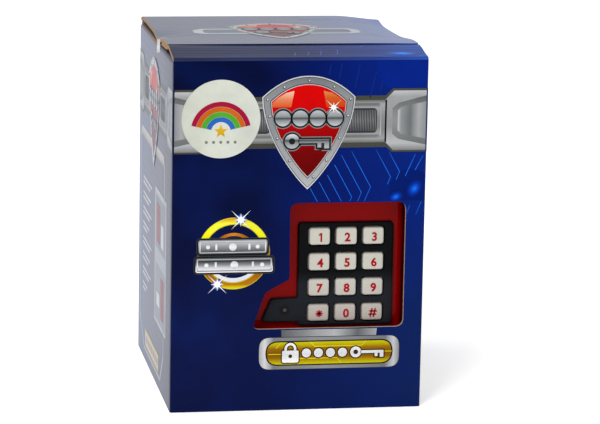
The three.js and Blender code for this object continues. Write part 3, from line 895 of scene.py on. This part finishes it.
def emblem(art, base):
    """The shield with its frame, rivets, gloss and signs: a code of dots over a key."""
    x = SHIELD_X
    dark = "0 3A3B3C, 50 4C4E50, 100 2C2D2E"
    pale = "0 DCDCDD, 50 C2C4C6, 100 CCCED0"
    silver = "0 B4B5B7, 35 9EA0A3, 60 888B8F, 82 8E9194, 100 74787B"
    # painted glare: where the inks are greyed for glare, the silver is drawn pale as well
    if art.painted_glare:
        silver = pale
    red = "0 640002, 25 700002, 50 A00002, 75 C80002, 100 D60000"
    rings = [(0.0, pale), (0.7, dark), (1.1, silver), (4.7, dark), (5.2, pale), (5.6, red)]
    for k, (inset, stops) in enumerate(rings):
        art.add([[shield_outline(inset)]], base + k, stops)
    ring = shield_outline(3.0)
    spots = [ring[k] for k in (0, 6, 10, 13, 17, 21, 24)]
    spots += mirrored(spots[1:-1], x)
    art.add([[disc(u, v, 0.85, 14)] for u, v in spots], base + 6, "4C4F52")
    art.add([[disc(u + 0.15, v + 0.2, 0.5, 10)] for u, v in spots], base + 7, "D8DADC")
    left = [(x - 21.6, 181.4), (x - 10.4, 181.4), (x - 8.6, 191.0), (x - 13.5, 189.8),
            (x - 18.2, 187.0), (x - 21.4, 184.0)]
    art.add([[left]], base + 6, "0 D8541E, 50 E0845A, 100 EAC0AC")
    art.add([[mirrored(left, x)]], base + 6, "0 CC400C, 60 D05A22, 100 D88850")
    dots = dot_row(x + 0.2, 174.9, 4, 10.2, 4.6)
    key = key_sign(x - 0.6, 161.4, 14.4)
    art.add(grown(dots, 1.5) + grown(key, 1.5), base + 7, "84888B")
    art.add(grown(dots, 1.0) + grown(key, 1.0), base + 8, "1E2022")
    art.add(dots, base + 9, "0 C4C8CA, 36 8A8F91, 50 45484A, 62 8F9496, 100 B9BDC0")
    art.add(key, base + 9, "0 B4B9BB, 42 84898B, 55 454849, 70 A5A9AC, 100 DCDEE0")
    rays, heart = glint(x + 14.6, 181.2, 6.4)
    art.add(rays, base + 10, "FFFFFF")
    art.add(heart, base + 11, "FFFFFF")


METAL = "0 62645F, 10 9A9C9D, 30 7C7E7F, 62 868889, 90 A0A2A4, 100 62645F"


def bracket_end(art, edge, toward):
    """The band's end plate at a corner of the carton; toward is 1 where the band runs left."""
    outlines = [
        (1, "45463F", [(0, 154.4), (20, 154.4), (24.6, 158.4), (24.6, 187.6), (20, 192.0),
                       (0, 192.0)]),
        (2, "0 7C7E7F, 12 B4B6B7, 40 8F9192, 90 9A9C9D, 100 B9BBBC",
         [(0, 155.4), (19.2, 155.4), (24.4, 160.8), (24.4, 185.4), (19.2, 190.7), (0, 190.7)]),
        (3, "0 6A6E6E, 50 8A8E8E, 100 5E6262",
         [(0, 158.6), (16.4, 162.2), (20, 165.2), (20, 180.4), (16.4, 183.4), (0, 187.7)])]
    for layer, run, outline in outlines:
        art.add([[[(edge - toward * u, v) for u, v in outline]]], layer, run)
    face = [(0, 162.2), (14.6, 165.0), (16.8, 167.2), (16.8, 179.0), (14.6, 181.2), (0, 184.2)]
    art.add([[[(edge - toward * u, v) for u, v in face]]], 4,
            "0 C4C6C8, 12 8E9193, 45 6E7173, 75 A4A6A8, 100 8A8D8F", "U",
            (edge - 17, edge) if toward > 0 else (edge + 17, edge))


def band(art, start, end, grilles):
    """The mechanical band with its ribbed grilles, between two places across the face."""
    art.add([[[(start, 157.1), (end, 157.3), (end, 187.9), (start, 187.4)]]], 0, "45463F")
    art.add([[[(start, 160.0), (end, 160.2), (end, 185.3), (start, 184.9)]]], 2, METAL)
    middle_v, rib_pitch = 173.2, 0.98
    for low, high in grilles:
        middle = (low + high) / 2
        lip = rect(middle, middle_v, high - low + 6.0, 20.4, 2.5)
        art.add([[lip]], 3, "0 6F7173, 8 B2B4B6, 92 A2A4A6, 100 5F6163")
        art.add([[scaled(lip, middle, middle_v, 0.955, 0.93)]], 4, METAL)
        art.add([[rect(middle, middle_v, high - low + 0.8, 14.6, 2.4)]], 5, "34363A")
        count = int((high - low - 1.6) / rib_pitch)
        ribs = [[rect(low + 1.3 + rib_pitch * k, middle_v, 0.42, 12.6)] for k in range(count + 1)]
        art.add(ribs, 6, "0 5A5C5E, 50 8E9092, 100 6A6C6E")


def mechanical_band(name, face, left, right, grilles, du=0.0, dv=0.0, painted_glare=0.0, overlap=23.4):
    """One wall's band with its end plates, and the shield over it, moved by (du, dv)."""
    art = Print(f"{name}_band", face, painted_glare=painted_glare)
    band(art, left + overlap, right - overlap, grilles)
    bracket_end(art, right, 1)
    bracket_end(art, left, -1)
    art.finish()
    art = Print(f"{name}_shield", face, du, dv, first=7, painted_glare=painted_glare)
    emblem(art, 0)
    art.finish()


def tech_lines(art):
    """Thin glowing lines that bend back on themselves, over the blue ground."""
    slope, bent = 1.82, 2.4  # how steeply the lines fall before and after their corner
    lines = []
    for x, z, rise, fall in (
            (30.9, 127.9, 19.2, 2.5), (36.6, 130.4, 22.5, 5), (42, 133.7, 21.4, 8.3),
            (53.8, 139.5, 16.8, 4.4), (59.1, 142.6, 11.7, 4.8), (24.9, GROUND_LINE, 15.8, 0),
            (17.9, GROUND_LINE, 11.8, 0), (10.6, GROUND_LINE, 7.8, 0)):
        line = [(x - rise / slope, z + rise), (x, z), (x - fall / bent, z - fall)]
        lines.append(line if fall else line[:2])
    lines += [[(x, z), (x - run, z - fall)] for x, z, run, fall in (
        (68.3, 152.9, 5.8, 13), (72.9, 152.1, 4.6, 8.7), (65.6, 122.6, 1.4, 5),
        (72.6, 124.6, 3.2, 7.7))]
    art.add([[stroke(line, 0.42)] for line in lines], 0,
            "0 0A50C0, 30 1562D8, 75 1B6AE0, 100 0A3C9C")
    faint = [[stroke([(x, z), (x - run, z - fall)], 0.4)] for x, z, run, fall in (
        (17, 206, 0.9, 6), (23.6, 206.5, 1.5, 8.6), (34.2, 206, 2.6, 13.4), (44, 202, 3.6, 15.5),
        (47.6, 195.5, 1.2, 5))]
    art.add(faint, 0, "0B2E86")


GLOW = ["012178", "02298C", "0334A4", "0644BE", "0A58D6", "1470EC"]  # from the rim inward
FLAP_GLOW = ["12409C", "1048AE", "0E56C4", "1068DC", "1A80F4", "2C94FF"]


def glow(art, x, z, radius, squash, codes, floor=None, lean=0.0):
    """A soft light printed on the blue: discs that fade outward."""
    for k, code in enumerate(codes):
        share = 1 - 0.16 * k
        loop = [(u + lean * (v - z), v) for u, v in disc(x, z, radius * share, 40, squash)]
        if floor is not None:
            loop = [(u, max(v, floor)) for u, v in loop]
        art.add([[loop]], k, code)


def bubble(art, x, z, radius, code, low, high):
    """A large round patch in the ground, kept between two heights and on the face."""
    loop = [(min(u, PRINT_EDGE), min(max(v, low), high)) for u, v in disc(x, z, radius, 64)]
    art.add([[loop]], 0, code, thickness=0.015)


def sticker():
    """A round paper sticker with a plain rainbow over a row of dots."""
    x, z, r = -46.9, 174.9, 23.0
    art = Print("front_sticker", FRONT, first=8)
    art.add([[disc(x, z, r, 96)]], 0, "0 C6CBBE, 40 D2D5C9, 100 CFD2C7", "U",
            roughness=0.6, thickness=0.09)
    for k, code in enumerate(["A3153A", "C8621A", "4FA52C", "2D64B8"]):
        art.add([[stroke(arc(x, z - 7.5, 16.2 - 3.0 * k, 12, 168, 36), 2.9)]], 2, code)
    art.add([[star(x, z - 7.2, 4.2, 1.8)]], 2, "0 C8961A, 100 E0B82A")
    art.add(dot_row(x, z - 13.6, 5, 4.2, 0.9), 2, "7A7F78")
    art.finish()


def note_sign(x, z, width, height):
    """A plain banknote: its paper, then its frame, round middle and corner dots."""
    frame = [rect(x, z, width - 1.4, height - 1.4, 0.8), rect(x, z, width - 2.6, height - 2.6, 0.4)]
    marks = [[disc(x + side * width * 0.36, z, height * 0.14, 16)] for side in (-1, 1)]
    bars = [[rect(x + side * width * 0.24, z, 1.2, height * 0.42)] for side in (-1, 1)]
    middle = [disc(x, z, height * 0.26, 32)]
    return [[rect(x, z, width, height, 1.4)]], [frame, middle] + marks + bars


def gold_ring():
    """A gold ring behind two banknote signs, with gleams on it."""
    x, z, outer, inner = -38.3, 95.2, 21.1, 17.4
    art = Print("front_ring", FRONT)
    art.add([[disc(x, z, outer + 0.3, 96), disc(x, z, inner - 0.2, 96)]], 0,
            "0 E4DC30, 50 9A7E14, 100 E8DA34")
    art.add([[disc(x, z, outer, 96), disc(x, z, inner + 0.3, 96)]], 1,
            "0 F0E808, 6 B87810, 22 9A5E08, 42 8A6C10, 60 B8A010, 74 F4F000, 92 F6F440, "
            "100 D08A10")
    gleam = arc(x, z, inner - 0.3, 205, 335, 26) + arc(x, z + 1.5, inner - 1.2, 335, 205, 26)
    art.add([[gleam]], 1, "E6E6EE")
    art.add([[stroke(arc(x, 93.2, 13.4, 30, 150, 24), 1.8)]], 1,
            "0 5A3408, 50 D8801A, 100 5A3408", "U")
    rear_paper, rear_marks = note_sign(x - 0.6, 99.2, 40.6, 8.6)
    near_paper, near_marks = note_sign(x + 0.4, 88.4, 45.6, 8.8)
    art.add(grown(rear_paper + near_paper, 1.1), 2, "3E4346")
    art.add(grown(rear_paper + near_paper, 0.8), 3, "141618")
    art.add(rear_paper, 4, "0 2E3032, 20 5A5C5F, 50 8E9093, 75 B4B5BA, 100 7E8084")
    art.add(near_paper, 4, "0 F0F0F4, 30 D8D8DE, 50 8E9094, 75 3A3C3E, 100 5A5C60")
    art.add(rear_marks, 5, "0 B8BABE, 50 F0F0F4, 100 C4C6CA")
    art.add(near_marks, 5, "0 6A6C70, 45 F4F4F6, 70 D6D8DC, 100 A8AAAE")
    for gx, gz, size in [(-34.4, 115.2, 8.0), (-47.8, 77.0, 8.0)]:
        rays, heart = glint(gx, gz, size)
        art.add([[disc(gx, gz, size * 0.42, 32)]], 0, "2A4488")
        art.add([[disc(gx, gz, size * 0.33, 32)]], 5, "7088C4")
        art.add(rays, 6, "FFFFFF")
        art.add(heart, 7, "FFFFFF")
    art.finish()


def plaque():
    """The silver plate under the window, with a gold bar that carries a lock and a code."""
    art = Print("front_plaque", FRONT)
    art.add([[[(-9.4, 48.6), (-9.2, 44.4), (47.4, 44.4), (47.8, 48.6)]]], 0,
            "0 606164, 30 8E9092, 55 B6B7BA, 80 66686B, 100 A2A3A6", "U")
    x0, x1, low, high = -22.4, 61.4, 24.9, 44.0
    x, z = (x0 + x1) / 2, (low + high) / 2
    plate = rect(x, z, x1 - x0, high - low, 6.5)
    art.add([[scaled(plate, x, z, 1.006, 1.03)]], 1, "3C3E40")
    art.add([[plate]], 2, "0 A8A9AB, 4 DADADC, 10 7E8083, 50 8E9093, 90 74767A, 96 C6C7C9, "
            "100 86888B", "U")
    width, height = 74.6, 13.4
    bar = rect(x, z, width, height, height / 2)
    art.add([[rect(x, z, width + 1.6, height + 1.6, height / 2 + 0.8)]], 3, "241F16")
    art.add([[bar]], 4,
            "0 CFC508, 16 B0960A, 30 8E6206, 50 845604, 72 9A6C08, 86 BCA80A, 100 CDC60C")
    lines = [[(-9, 41.2), (-12.4, 37.6)], [(8, 41.2), (10.6, 38.4), (39, 38.4), (41.4, 41.2)],
             [(-4, 27.9), (-1.2, 31.2), (24, 31.2), (27, 27.9)], [(-17, 34.0), (-8, 34.0)],
             [(50.6, 34.5), (57, 34.5)]]
    art.add([[stroke(points, 0.45)] for points in lines], 5, "E2DA20")
    signs = padlock_sign(-3.8, z + 0.3, 10.4) + key_sign(42.2, z, 11.0)
    signs += dot_row(16.6, z, 4, 7.2, 2.7)
    art.add(grown(signs, 0.7), 6, "3A2608")
    art.add(signs, 7, "0 FFFFFF, 40 DCDDE0, 100 F6F6F8")
    art.finish()


def front_art():
    ground = Print("front_glows", FRONT)
    bubble(ground, 61, 206, 17, "002080", 192.2, 208.4)
    bubble(ground, 66, 131, 13, "001A68", GROUND_LINE, 153)
    ground.finish()
    for k, glows in enumerate([(68.2, 132.4, 4.4, 1.15, 0.25), (57.2, 127.6, 4.2, 0.8, 0.35)]):
        x, z, radius, squash, lean = glows
        art = Print(f"front_glow_{k + 1}", FRONT, first=1)
        glow(art, x, z, radius, squash, GLOW, GROUND_LINE, lean)
        art.finish()
    lines = Print("front_lines", FRONT)
    tech_lines(lines)
    lines.finish()
    mechanical_band("front", FRONT, -PRINT_EDGE, PRINT_EDGE, [(-29.8, -18.6), (24.0, 44.4)])
    sticker()
    gold_ring()
    plaque()


def side_art(name, face):
    """A side wall: the band and shield above a framed panel with bars, a picture and a label."""
    # painted glare: the side walls' print is greyed towards pale, as a grazing light would wash it
    # out
    painted_glare = 0.35
    margin = HALF_WIDTH - PRINT_EDGE
    mechanical_band(name, face, margin, 2 * BACK_Y - margin, [(31, 48), (110, 129)],
                    78.0 - SHIELD_X, -2.2, painted_glare)
    art = Print(f"{name}_panel", face, painted_glare=painted_glare)
    frame = corners([(10.5, 24, 0), (10.5, 140, 0), (16, 146, 0), (126, 146, 0), (131.5, 140, 0),
                     (131.5, 24, 0), (117, 6.5, 0), (33, 6.5, 0)])
    inner = scaled(frame, 71, 76, 0.966, 0.975)
    art.add([[frame, inner]], 0, "BEC1C6")
    art.add([[rect(72, 143, 112, 5.4)]], 1, "0 A9A79C, 100 C4C2B8")
    shots = rect(113.5, 79.5, 55, 82, 2)
    art.add([[shots]], 0, "C9CBCE")
    art.add([[scaled(shots, 113.5, 79.5, 0.95, 0.966)]], 1, "0 9DA3AE, 100 B4B8C0")
    art.add([[rect(113.5, 101, 46, 32, 1.5)]], 2, "7E858F")
    art.add([[rect(113.5, 58, 46, 34, 1.5)]], 2, "8A9099")
    art.add([[rect(104, 101, 16, 24, 2)], [rect(124, 58, 15, 25, 2)]], 3, "8C1418")
    art.add([[rect(122.5, 96, 12, 14, 1)], [rect(104, 54, 14, 8, 1)]], 3, "D8DADC")
    for k in range(8):
        width = (44, 38, 42, 30, 44, 36, 40, 24)[k]
        rows = [[rect(25 + (width - cut) / 2, 115 - 9.6 * k - 3.2 * row, width - cut, 1.5)]
                for row, cut in ((0, 0), (1, 9))]
        art.add(rows, 1, "D4D6DA")
    label = rect(74.5, 15, 69, 11, 0.6)
    art.add([[label]], 1, "D8BC3A")
    art.add([[scaled(label, 74.5, 15, 0.975, 0.7)]], 2, "D9D6CC")
    art.add([[rect(48 + 9.0 * k, 15, 6.4, 4.6, 0.6)] for k in range(7)], 3, "B08A7A")
    art.finish()


def back_art():
    """The back wall: the band, the shield and one framed panel of bars."""
    mechanical_band("back", BACK, -PRINT_EDGE, PRINT_EDGE, [(-46, -32), (36, 50)], -SHIELD_X,
                    overlap=23.6)
    art = Print("back_panel", BACK)
    frame = rect(0, 70, 112, 94, 5)
    art.add([[frame, scaled(frame, 0, 70, 0.975, 0.97)]], 0, "AEB2BA")
    for k in range(7):
        width = (92, 84, 90, 62, 88, 80, 48)[k]
        art.add([[rect(-46 + width / 2, 106 - 11 * k, width, 2.2)]], 1, "B9BDC6")
    art.finish()


def lid_art():
    """The lid: the same shield with its tip towards the front, on the band, and thin lines."""
    art = Print("lid_band", LID, -SHIELD_X - 1)
    for side in (-1, 1):
        def at(points):
            return [(SHIELD_X + side * u, v - 8.5) for u, v in points]
        art.add([[at([(16, 165.4), (45, 165.4), (51, 171), (51, 181.5), (45, 187.6),
                      (16, 187.6)])]], 1, "C3C6C9")
        art.add([[at([(20, 169), (42, 169), (45, 172), (45, 181), (42, 184), (20, 184)])]], 2,
                "0 7F93AE, 30 6F7A8A, 100 767E8C")
    art.finish()
    # painted glare: the lid's shield is greyed a little, as the sheen on the lid would
    art = Print("lid_shield", LID, -SHIELD_X - 1, first=4, painted_glare=0.15)
    emblem(art, 0)
    art.finish()
    art = Print("lid_lines", LID)
    seams = [[(-72, 148), (-56, 155), (-50, 155)], [(54, 156), (60, 150), (74, 148)],
             [(20, 218), (58, 218), (62, 214)]]
    art.add([[stroke(points, 0.4)] for points in seams], 0, "5E6470")
    streaks = [[(x, 223), (x - 4.5, 205)] for x in (22, 34, 47, 58)]
    streaks += [[(x, 196), (x - 7.5, 158)] for x in (62, 70)] + [[(26, 158), (24.5, 146)]]
    art.add([[stroke(points, 0.55)] for points in streaks], 0, "6D8FC4")
    art.finish()


def flap_art():
    """The front flap carries on the front's blue: a glow at the right and thin lines."""
    art = Print("flap_glow", FLAP)
    glow(art, 61, 8.5, 11, 0.45, FLAP_GLOW)
    art.finish()
    art = Print("flap_lines", FLAP)
    art.add([[stroke([(x, y), (x - 1.6, y - run)], 0.5)] for x, y, run in [
        (-2, 12, 7), (6, 13, 7), (13.6, 15, 9), (23.6, 17, 10), (40, 26, 5)]], 0, "2F66C4")
    art.finish()


front_art()
side_art("left", LEFT)
side_art("right", RIGHT)
back_art()
lid_art()
flap_art()


# The safe behind the window
# --------------------------

def on_door(u, v, out):
    """out is how far a point stands in front of the door's face."""
    return (u, DOOR_FACE - out, v)


DOOR_FACE = box_mm("door_panel")[0][1]
BEZEL_OUT = DOOR_FACE - box_mm("key_5")[0][1] - 1.5
KEYS = {"key_1": "1", "key_2": "2", "key_3": "3", "key_4": "4", "key_5": "5", "key_6": "6",
        "key_7": "7", "key_8": "8", "key_9": "9", "key_star": "*", "key_0": "0", "key_hash": "#"}
FLANGE = 1.0  # how far a key's flange reaches past its cap, behind the bezel


def glossy_red():
    """Gloss red styrene: slightly uneven colour, soft ripples and a few rubbed spots."""
    n = Nodes("gloss_red", 0.24, specular=0.05)
    base = n.mix(n.noise(60, 2.0), linear("7C0000"), linear("8C0204"))
    base = n.mix(n.times(n.noise(0.6, 4.0), 0.12), base, linear("5A0000"))
    n.color(base)
    n.put(n.ramp(n.noise(14, 5.0), "30 2C2C2C, 75 4A4A4A"), n.shader["Roughness"])
    n.bump(n.math("ADD", n.noise(22, 1.0), n.times(n.noise(0.5, 3.0), 0.06)), 0.25)
    return n.material


def bezel_black_painted_reflection():
    """Satin black at the top and greyer lower down, where the grey is a painted reflection of the
    bright floor in the gloss.
    """
    n = Nodes("bezel_black_painted_reflection", 0.42, specular=0.05)
    # painted reflection: this ramp turns the lower part of the bezel grey, as the floor would show
    # in its gloss
    up = n.math("ADD", n.along("Z", 70, 96), n.times(n.noise(30, 1.0), 0.3))
    base = n.ramp(up, "25 1B1E23, 60 050607")
    base = n.mix(n.times(n.noise(0.35, 3.0), 0.35), base, linear("0C0D10"))
    n.color(base)
    n.uneven(0.36, 0.14, 5, 4.0)
    n.bump(n.noise(0.3, 2.0), 0.012)
    return n.material


def key_white():
    """Ivory plastic, a little pinker and duller towards the lower keys."""
    n = Nodes("key_ivory", 0.34, specular=0.3)
    up = n.along("Z", 48, 112)
    base = n.ramp(up, "0 9C8F8C, 25 A9A39C, 50 B3B0A7, 100 B4B2A8")
    base = n.mix(n.times(n.noise(5, 4.0), 0.3), base, linear("A8A59B"))
    n.color(base)
    n.uneven(0.3, 0.12, 3, 4.0)
    n.bump(n.noise(0.4, 3.0), 0.01)
    return n.material


def key_sign_shapes(sign, u, v):
    """The one, the star and the hash; the other digits come from the built-in font."""
    if sign == "1":
        return [[[(u + a, v + b) for a, b in [
            (-0.1, -2.65), (0.85, -2.65), (0.85, 2.65), (0.1, 2.65), (-1.15, 1.75), (-1.0, 0.95),
            (-0.1, 1.45)]]]]
    if sign == "*":
        return [[stroke([(u - 2.1 * math.cos(a), v - 2.1 * math.sin(a)),
                         (u + 2.1 * math.cos(a), v + 2.1 * math.sin(a))], 0.8)]
                for a in (0, math.pi / 4, math.pi / 2, math.pi * 3 / 4)]
    lean = 0.22
    bars = [[(u + k - 2.5 * lean, v - 2.7), (u + k + 2.5 * lean, v + 2.7)] for k in (-0.95, 0.95)]
    bars += [[(u - 2.3 + k * lean, v + k), (u + 2.3 + k * lean, v + k)] for k in (-0.95, 0.95)]
    return [[stroke(bar, 0.85)] for bar in bars]


def digit(name, sign, u, v, out, material, body, height=5.3):
    """A raised digit from the built-in font, centred on (u, v) and thickened a little."""
    curve = bpy.data.curves.new(name, "FONT")
    curve.body = sign
    curve.size = 7.4 * MM
    curve.offset = 0.22 * MM
    curve.extrude = 0.1 * MM
    curve.resolution_u = 6
    text = linked(name + "_text", curve)
    bpy.context.view_layer.update()
    graph = bpy.context.evaluated_depsgraph_get()
    made = bpy.data.meshes.new_from_object(text.evaluated_get(graph), depsgraph=graph)
    bpy.data.objects.remove(text)
    flat = [p.co / MM for p in made.vertices]
    low, high = ([f(p[k] for p in flat) for k in (0, 1)] for f in (min, max))
    scale = height / (high[1] - low[1])
    verts = [on_door(u + (p.x - (low[0] + high[0]) / 2) * scale,
                     v + (p.y - (low[1] + high[1]) / 2) * scale, out + 0.1 + p.z) for p in flat]
    mesh_piece(name, verts, [tuple(f.vertices) for f in made.polygons], material, body)
    bpy.data.meshes.remove(made)


def keypad_bezel(caps, lens):
    """The black frame round the keys, with an arm that carries the status light."""
    outline = corners([
        (1.3, 111, 2.5), (1.3, 65.8, 0.8), (-14.3, 65.3, 1.8), (-20.2, 51.3, 2.8), (1.5, 51.2, 0.6),
        (2.2, 48.9, 2.2), (58.3, 48.9, 3), (58.3, 111, 2.5)], 8)
    holes = [offset(cap, 0.65) for cap in caps] + [disc(*lens, 2.1, 40)]
    bezel = lofted("keypad_bezel_moulding", [outline] + holes, [
        (0, -0.05), (0, BEZEL_OUT - 0.9), (0.1, BEZEL_OUT - 0.5), (0.35, BEZEL_OUT - 0.15),
        (0.75, BEZEL_OUT)], on_door, bezel_black_painted_reflection(), "door", 35)
    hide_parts("keypad_bezel")


def light_collar(lens):
    """The ring round the status light, on the bezel's arm."""
    collar = lofted("light_collar", [disc(*lens, 3.1, 48), disc(*lens, 1.75, 48)], [
        (0, BEZEL_OUT - 0.05), (0, BEZEL_OUT + 0.12), (0.2, BEZEL_OUT + 0.25),
        (0.35, BEZEL_OUT + 0.25)], on_door,
        plastic("collar_black", "0C0D0F", 0.3, specular=0.1), "door", 50)


def key(node, cap, ivory, red):
    """A key's cap with its flange and the raised sign on it."""
    (x0, y0, z0), (x1, y1, z1) = box_mm(node)
    back, front = DOOR_FACE - y1, DOOR_FACE - y0
    body, name, sign = node + "_body", node + "_sign", KEYS[node]
    piece = lofted(node + "_cap", [cap], [
        (-FLANGE, back), (-FLANGE, back + 1.2), (0, back + 1.2), (0, front - 1.0),
        (0.1, front - 0.55), (0.32, front - 0.22), (0.7, front - 0.06), (1.3, front)],
        on_door, ivory, body, 50)
    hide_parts(node)
    u, v = (x0 + x1) / 2 + 0.45, (z0 + z1) / 2 - 0.4
    if sign in "1*#":
        slabs(name, key_sign_shapes(sign, u, v), front, front + 0.2, on_door, red, body)
    else:
        digit(name, sign, u, v, front, red, body)


def keypad():
    caps = {}
    for node in KEYS:
        (x0, _, z0), (x1, _, z1) = box_mm(node)
        caps[node] = offset(rect((x0 + x1) / 2, (z0 + z1) / 2, x1 - x0 - 2 * FLANGE,
                                 z1 - z0 - 2 * FLANGE, 2.2), -0.3)
    (x0, _, z0), (x1, _, z1) = box_mm("status_light")
    lens = ((x0 + x1) / 2, (z0 + z1) / 2)
    keypad_bezel(caps.values(), lens)
    ivory = key_white()
    red = plastic("key_sign_red", "960208", 0.5, depth=0.01, specular=0.1)
    for node, cap in caps.items():
        key(node, cap, ivory, red)
    light_collar(lens)


# The parts kept from the CAD
# ---------------------------

def metal(name, code, roughness=0.28, brush=(1, 1, 1), size=3.0):
    """Bright metal with fine brush marks and a little tarnish."""
    n = Nodes(name, roughness, 1.0)
    marks = n.noise(size, 5.0, brush)
    tarnish = n.ramp(n.noise(9, 4.0), "40 FFFFFF, 75 C8C2B8")
    n.color(n.mix(0.5, n.mix(marks, linear(code), linear("E8E8EA")), tarnish, "MULTIPLY"))
    n.put(n.math("ADD", roughness - 0.08, n.times(marks, 0.2)), n.shader["Roughness"])
    n.bump(marks, 0.01)
    return n.material


def circuit_green():
    n = Nodes("circuit_green", 0.3, specular=0.5)
    tracks = n.math("GREATER_THAN", n.times(n.wave("X", 3.2), n.wave("Z", 2.4)), 0.35)
    n.color(n.mix(tracks, n.mix(n.noise(8), linear("06401C"), linear("0A5426")), linear("1E7A3A")))
    n.uneven(0.28, 0.12, 3)
    n.bump(tracks, 0.03)
    return n.material


def cell_wrap():
    """A battery's wrap: black with a copper end, and a fine seam of noise."""
    n = Nodes("cell_wrap", 0.3, specular=0.5)
    ends = n.ramp(n.along("X", -25, 25), "0 1A1B1D, 70 1E1F22, 72 A9642C, 100 B87333")
    n.color(n.mix(n.times(n.noise(2, 5.0), 0.2), ends, linear("4C4A48")))
    n.uneven(0.24, 0.14, 5)
    n.bump(n.noise(6), 0.02)
    return n.material


def dress():
    """Gives every CAD node that is still shown its own procedural finish."""
    black = plastic("moulded_black", "17181A", 0.48, texture=0.35, depth=0.03)
    steel = metal("plated_steel", "A9ACB0")
    gloss = glossy_red()
    rubber = plastic("soft_rubber_grey", "26272A", 0.85, texture=0.5, depth=0.06)
    looks = {
        "red_gloss": gloss,
        "red_matte": plastic("moulded_red", "8E0A0C", 0.42, texture=0.3, depth=0.02),
        "black_plastic": black,
        "grey_mat": plastic("keypad_rubber", "5A5C60", 0.8, texture=0.4, depth=0.05),
        "green_board": circuit_green(),
        "red_lens": plastic("smoked_lens", "1C1416", 0.2, texture=0.5, depth=0.01),
        "steel": steel,
        "silver_plastic": metal("silvered_plastic", "9EA1A5", 0.34, (1, 1, 4)),
        "soft_rubber": rubber,
        "cell_wrap": cell_wrap(),
        "plain_board": KRAFT,
    }
    for piece in frame["nodes"].values():
        for holder in piece.material_slots:
            look = looks.get(holder.material.name if holder.material else "")
            if look:
                holder.link = "OBJECT"
                holder.material = look


keypad()
dress()


# Camera, light and floor
# -----------------------

def studio():
    """A white floor and surroundings, and three soft lamps."""
    half = 3.0
    mesh = bpy.data.meshes.new("floor")
    mesh.from_pydata([(-half, -half, 0), (half, -half, 0), (half, half, 0), (-half, half, 0)], [],
                     [(0, 1, 2, 3)])
    n = Nodes("floor_paper", 0.9, specular=0.1)
    n.color(n.mix(n.noise(300, 2.0), linear("FAFAFA"), linear("FFFFFF")))
    n.put([1.0, 1.0, 1.0, 1.0], n.shader["Emission Color"])
    n.put(0.3, n.shader["Emission Strength"])
    mesh.materials.append(n.material)
    linked("floor", mesh)

    world = bpy.data.worlds.new("studio")
    bpy.context.scene.world = world
    world.use_nodes = True
    tree = world.node_tree
    sky = tree.nodes["Background"].inputs
    sky[0].default_value = (1, 1, 1, 1)
    seen = tree.nodes.new("ShaderNodeMapRange")  # white where it is seen, softer as a light
    seen.inputs["To Min"].default_value = 0.75
    tree.links.new(tree.nodes.new("ShaderNodeLightPath").outputs["Is Camera Ray"], seen.inputs[0])
    tree.links.new(seen.outputs[0], sky[1])

    for name, place, size, power in (
            ("key", (-0.9, -1.5, 1.7), 0.7, 25), ("side", (-1.5, 0.7, 0.8), 1.2, 6),
            ("fill", (0.9, -1.5, 0.8), 1.4, 2)):
        light = bpy.data.lights.new(name, "AREA")
        light.energy = power
        light.size = size
        lamp = linked(name, light)
        lamp.location = place
        aim = Vector((0, 0, 0.1)) - lamp.location
        lamp.rotation_euler = aim.to_track_quat("-Z", "Y").to_euler()


def camera():
    """A long lens a little above the carton and to its left."""
    yaw, pitch, roll = -0.1693, -0.2022, -0.0189
    turn = (Matrix.Rotation(yaw, 4, "Z") @ Matrix.Rotation(pitch, 4, "X")
            @ Matrix.Rotation(roll, 4, "Y"))
    data = bpy.data.cameras.new("camera")
    data.lens = 180
    data.sensor_width = 36
    data.clip_end = 50
    view = linked("camera", data)
    level = Matrix.Rotation(math.pi / 2, 4, "X")  # a camera at rest looks down
    place = Matrix.Translation(Vector((-288.6, -1773.4, 471.0)) * MM)
    view.matrix_world = place @ turn @ level
    bpy.context.scene.camera = view


studio()
camera()
bpy.context.scene.view_settings.view_transform = "Standard"
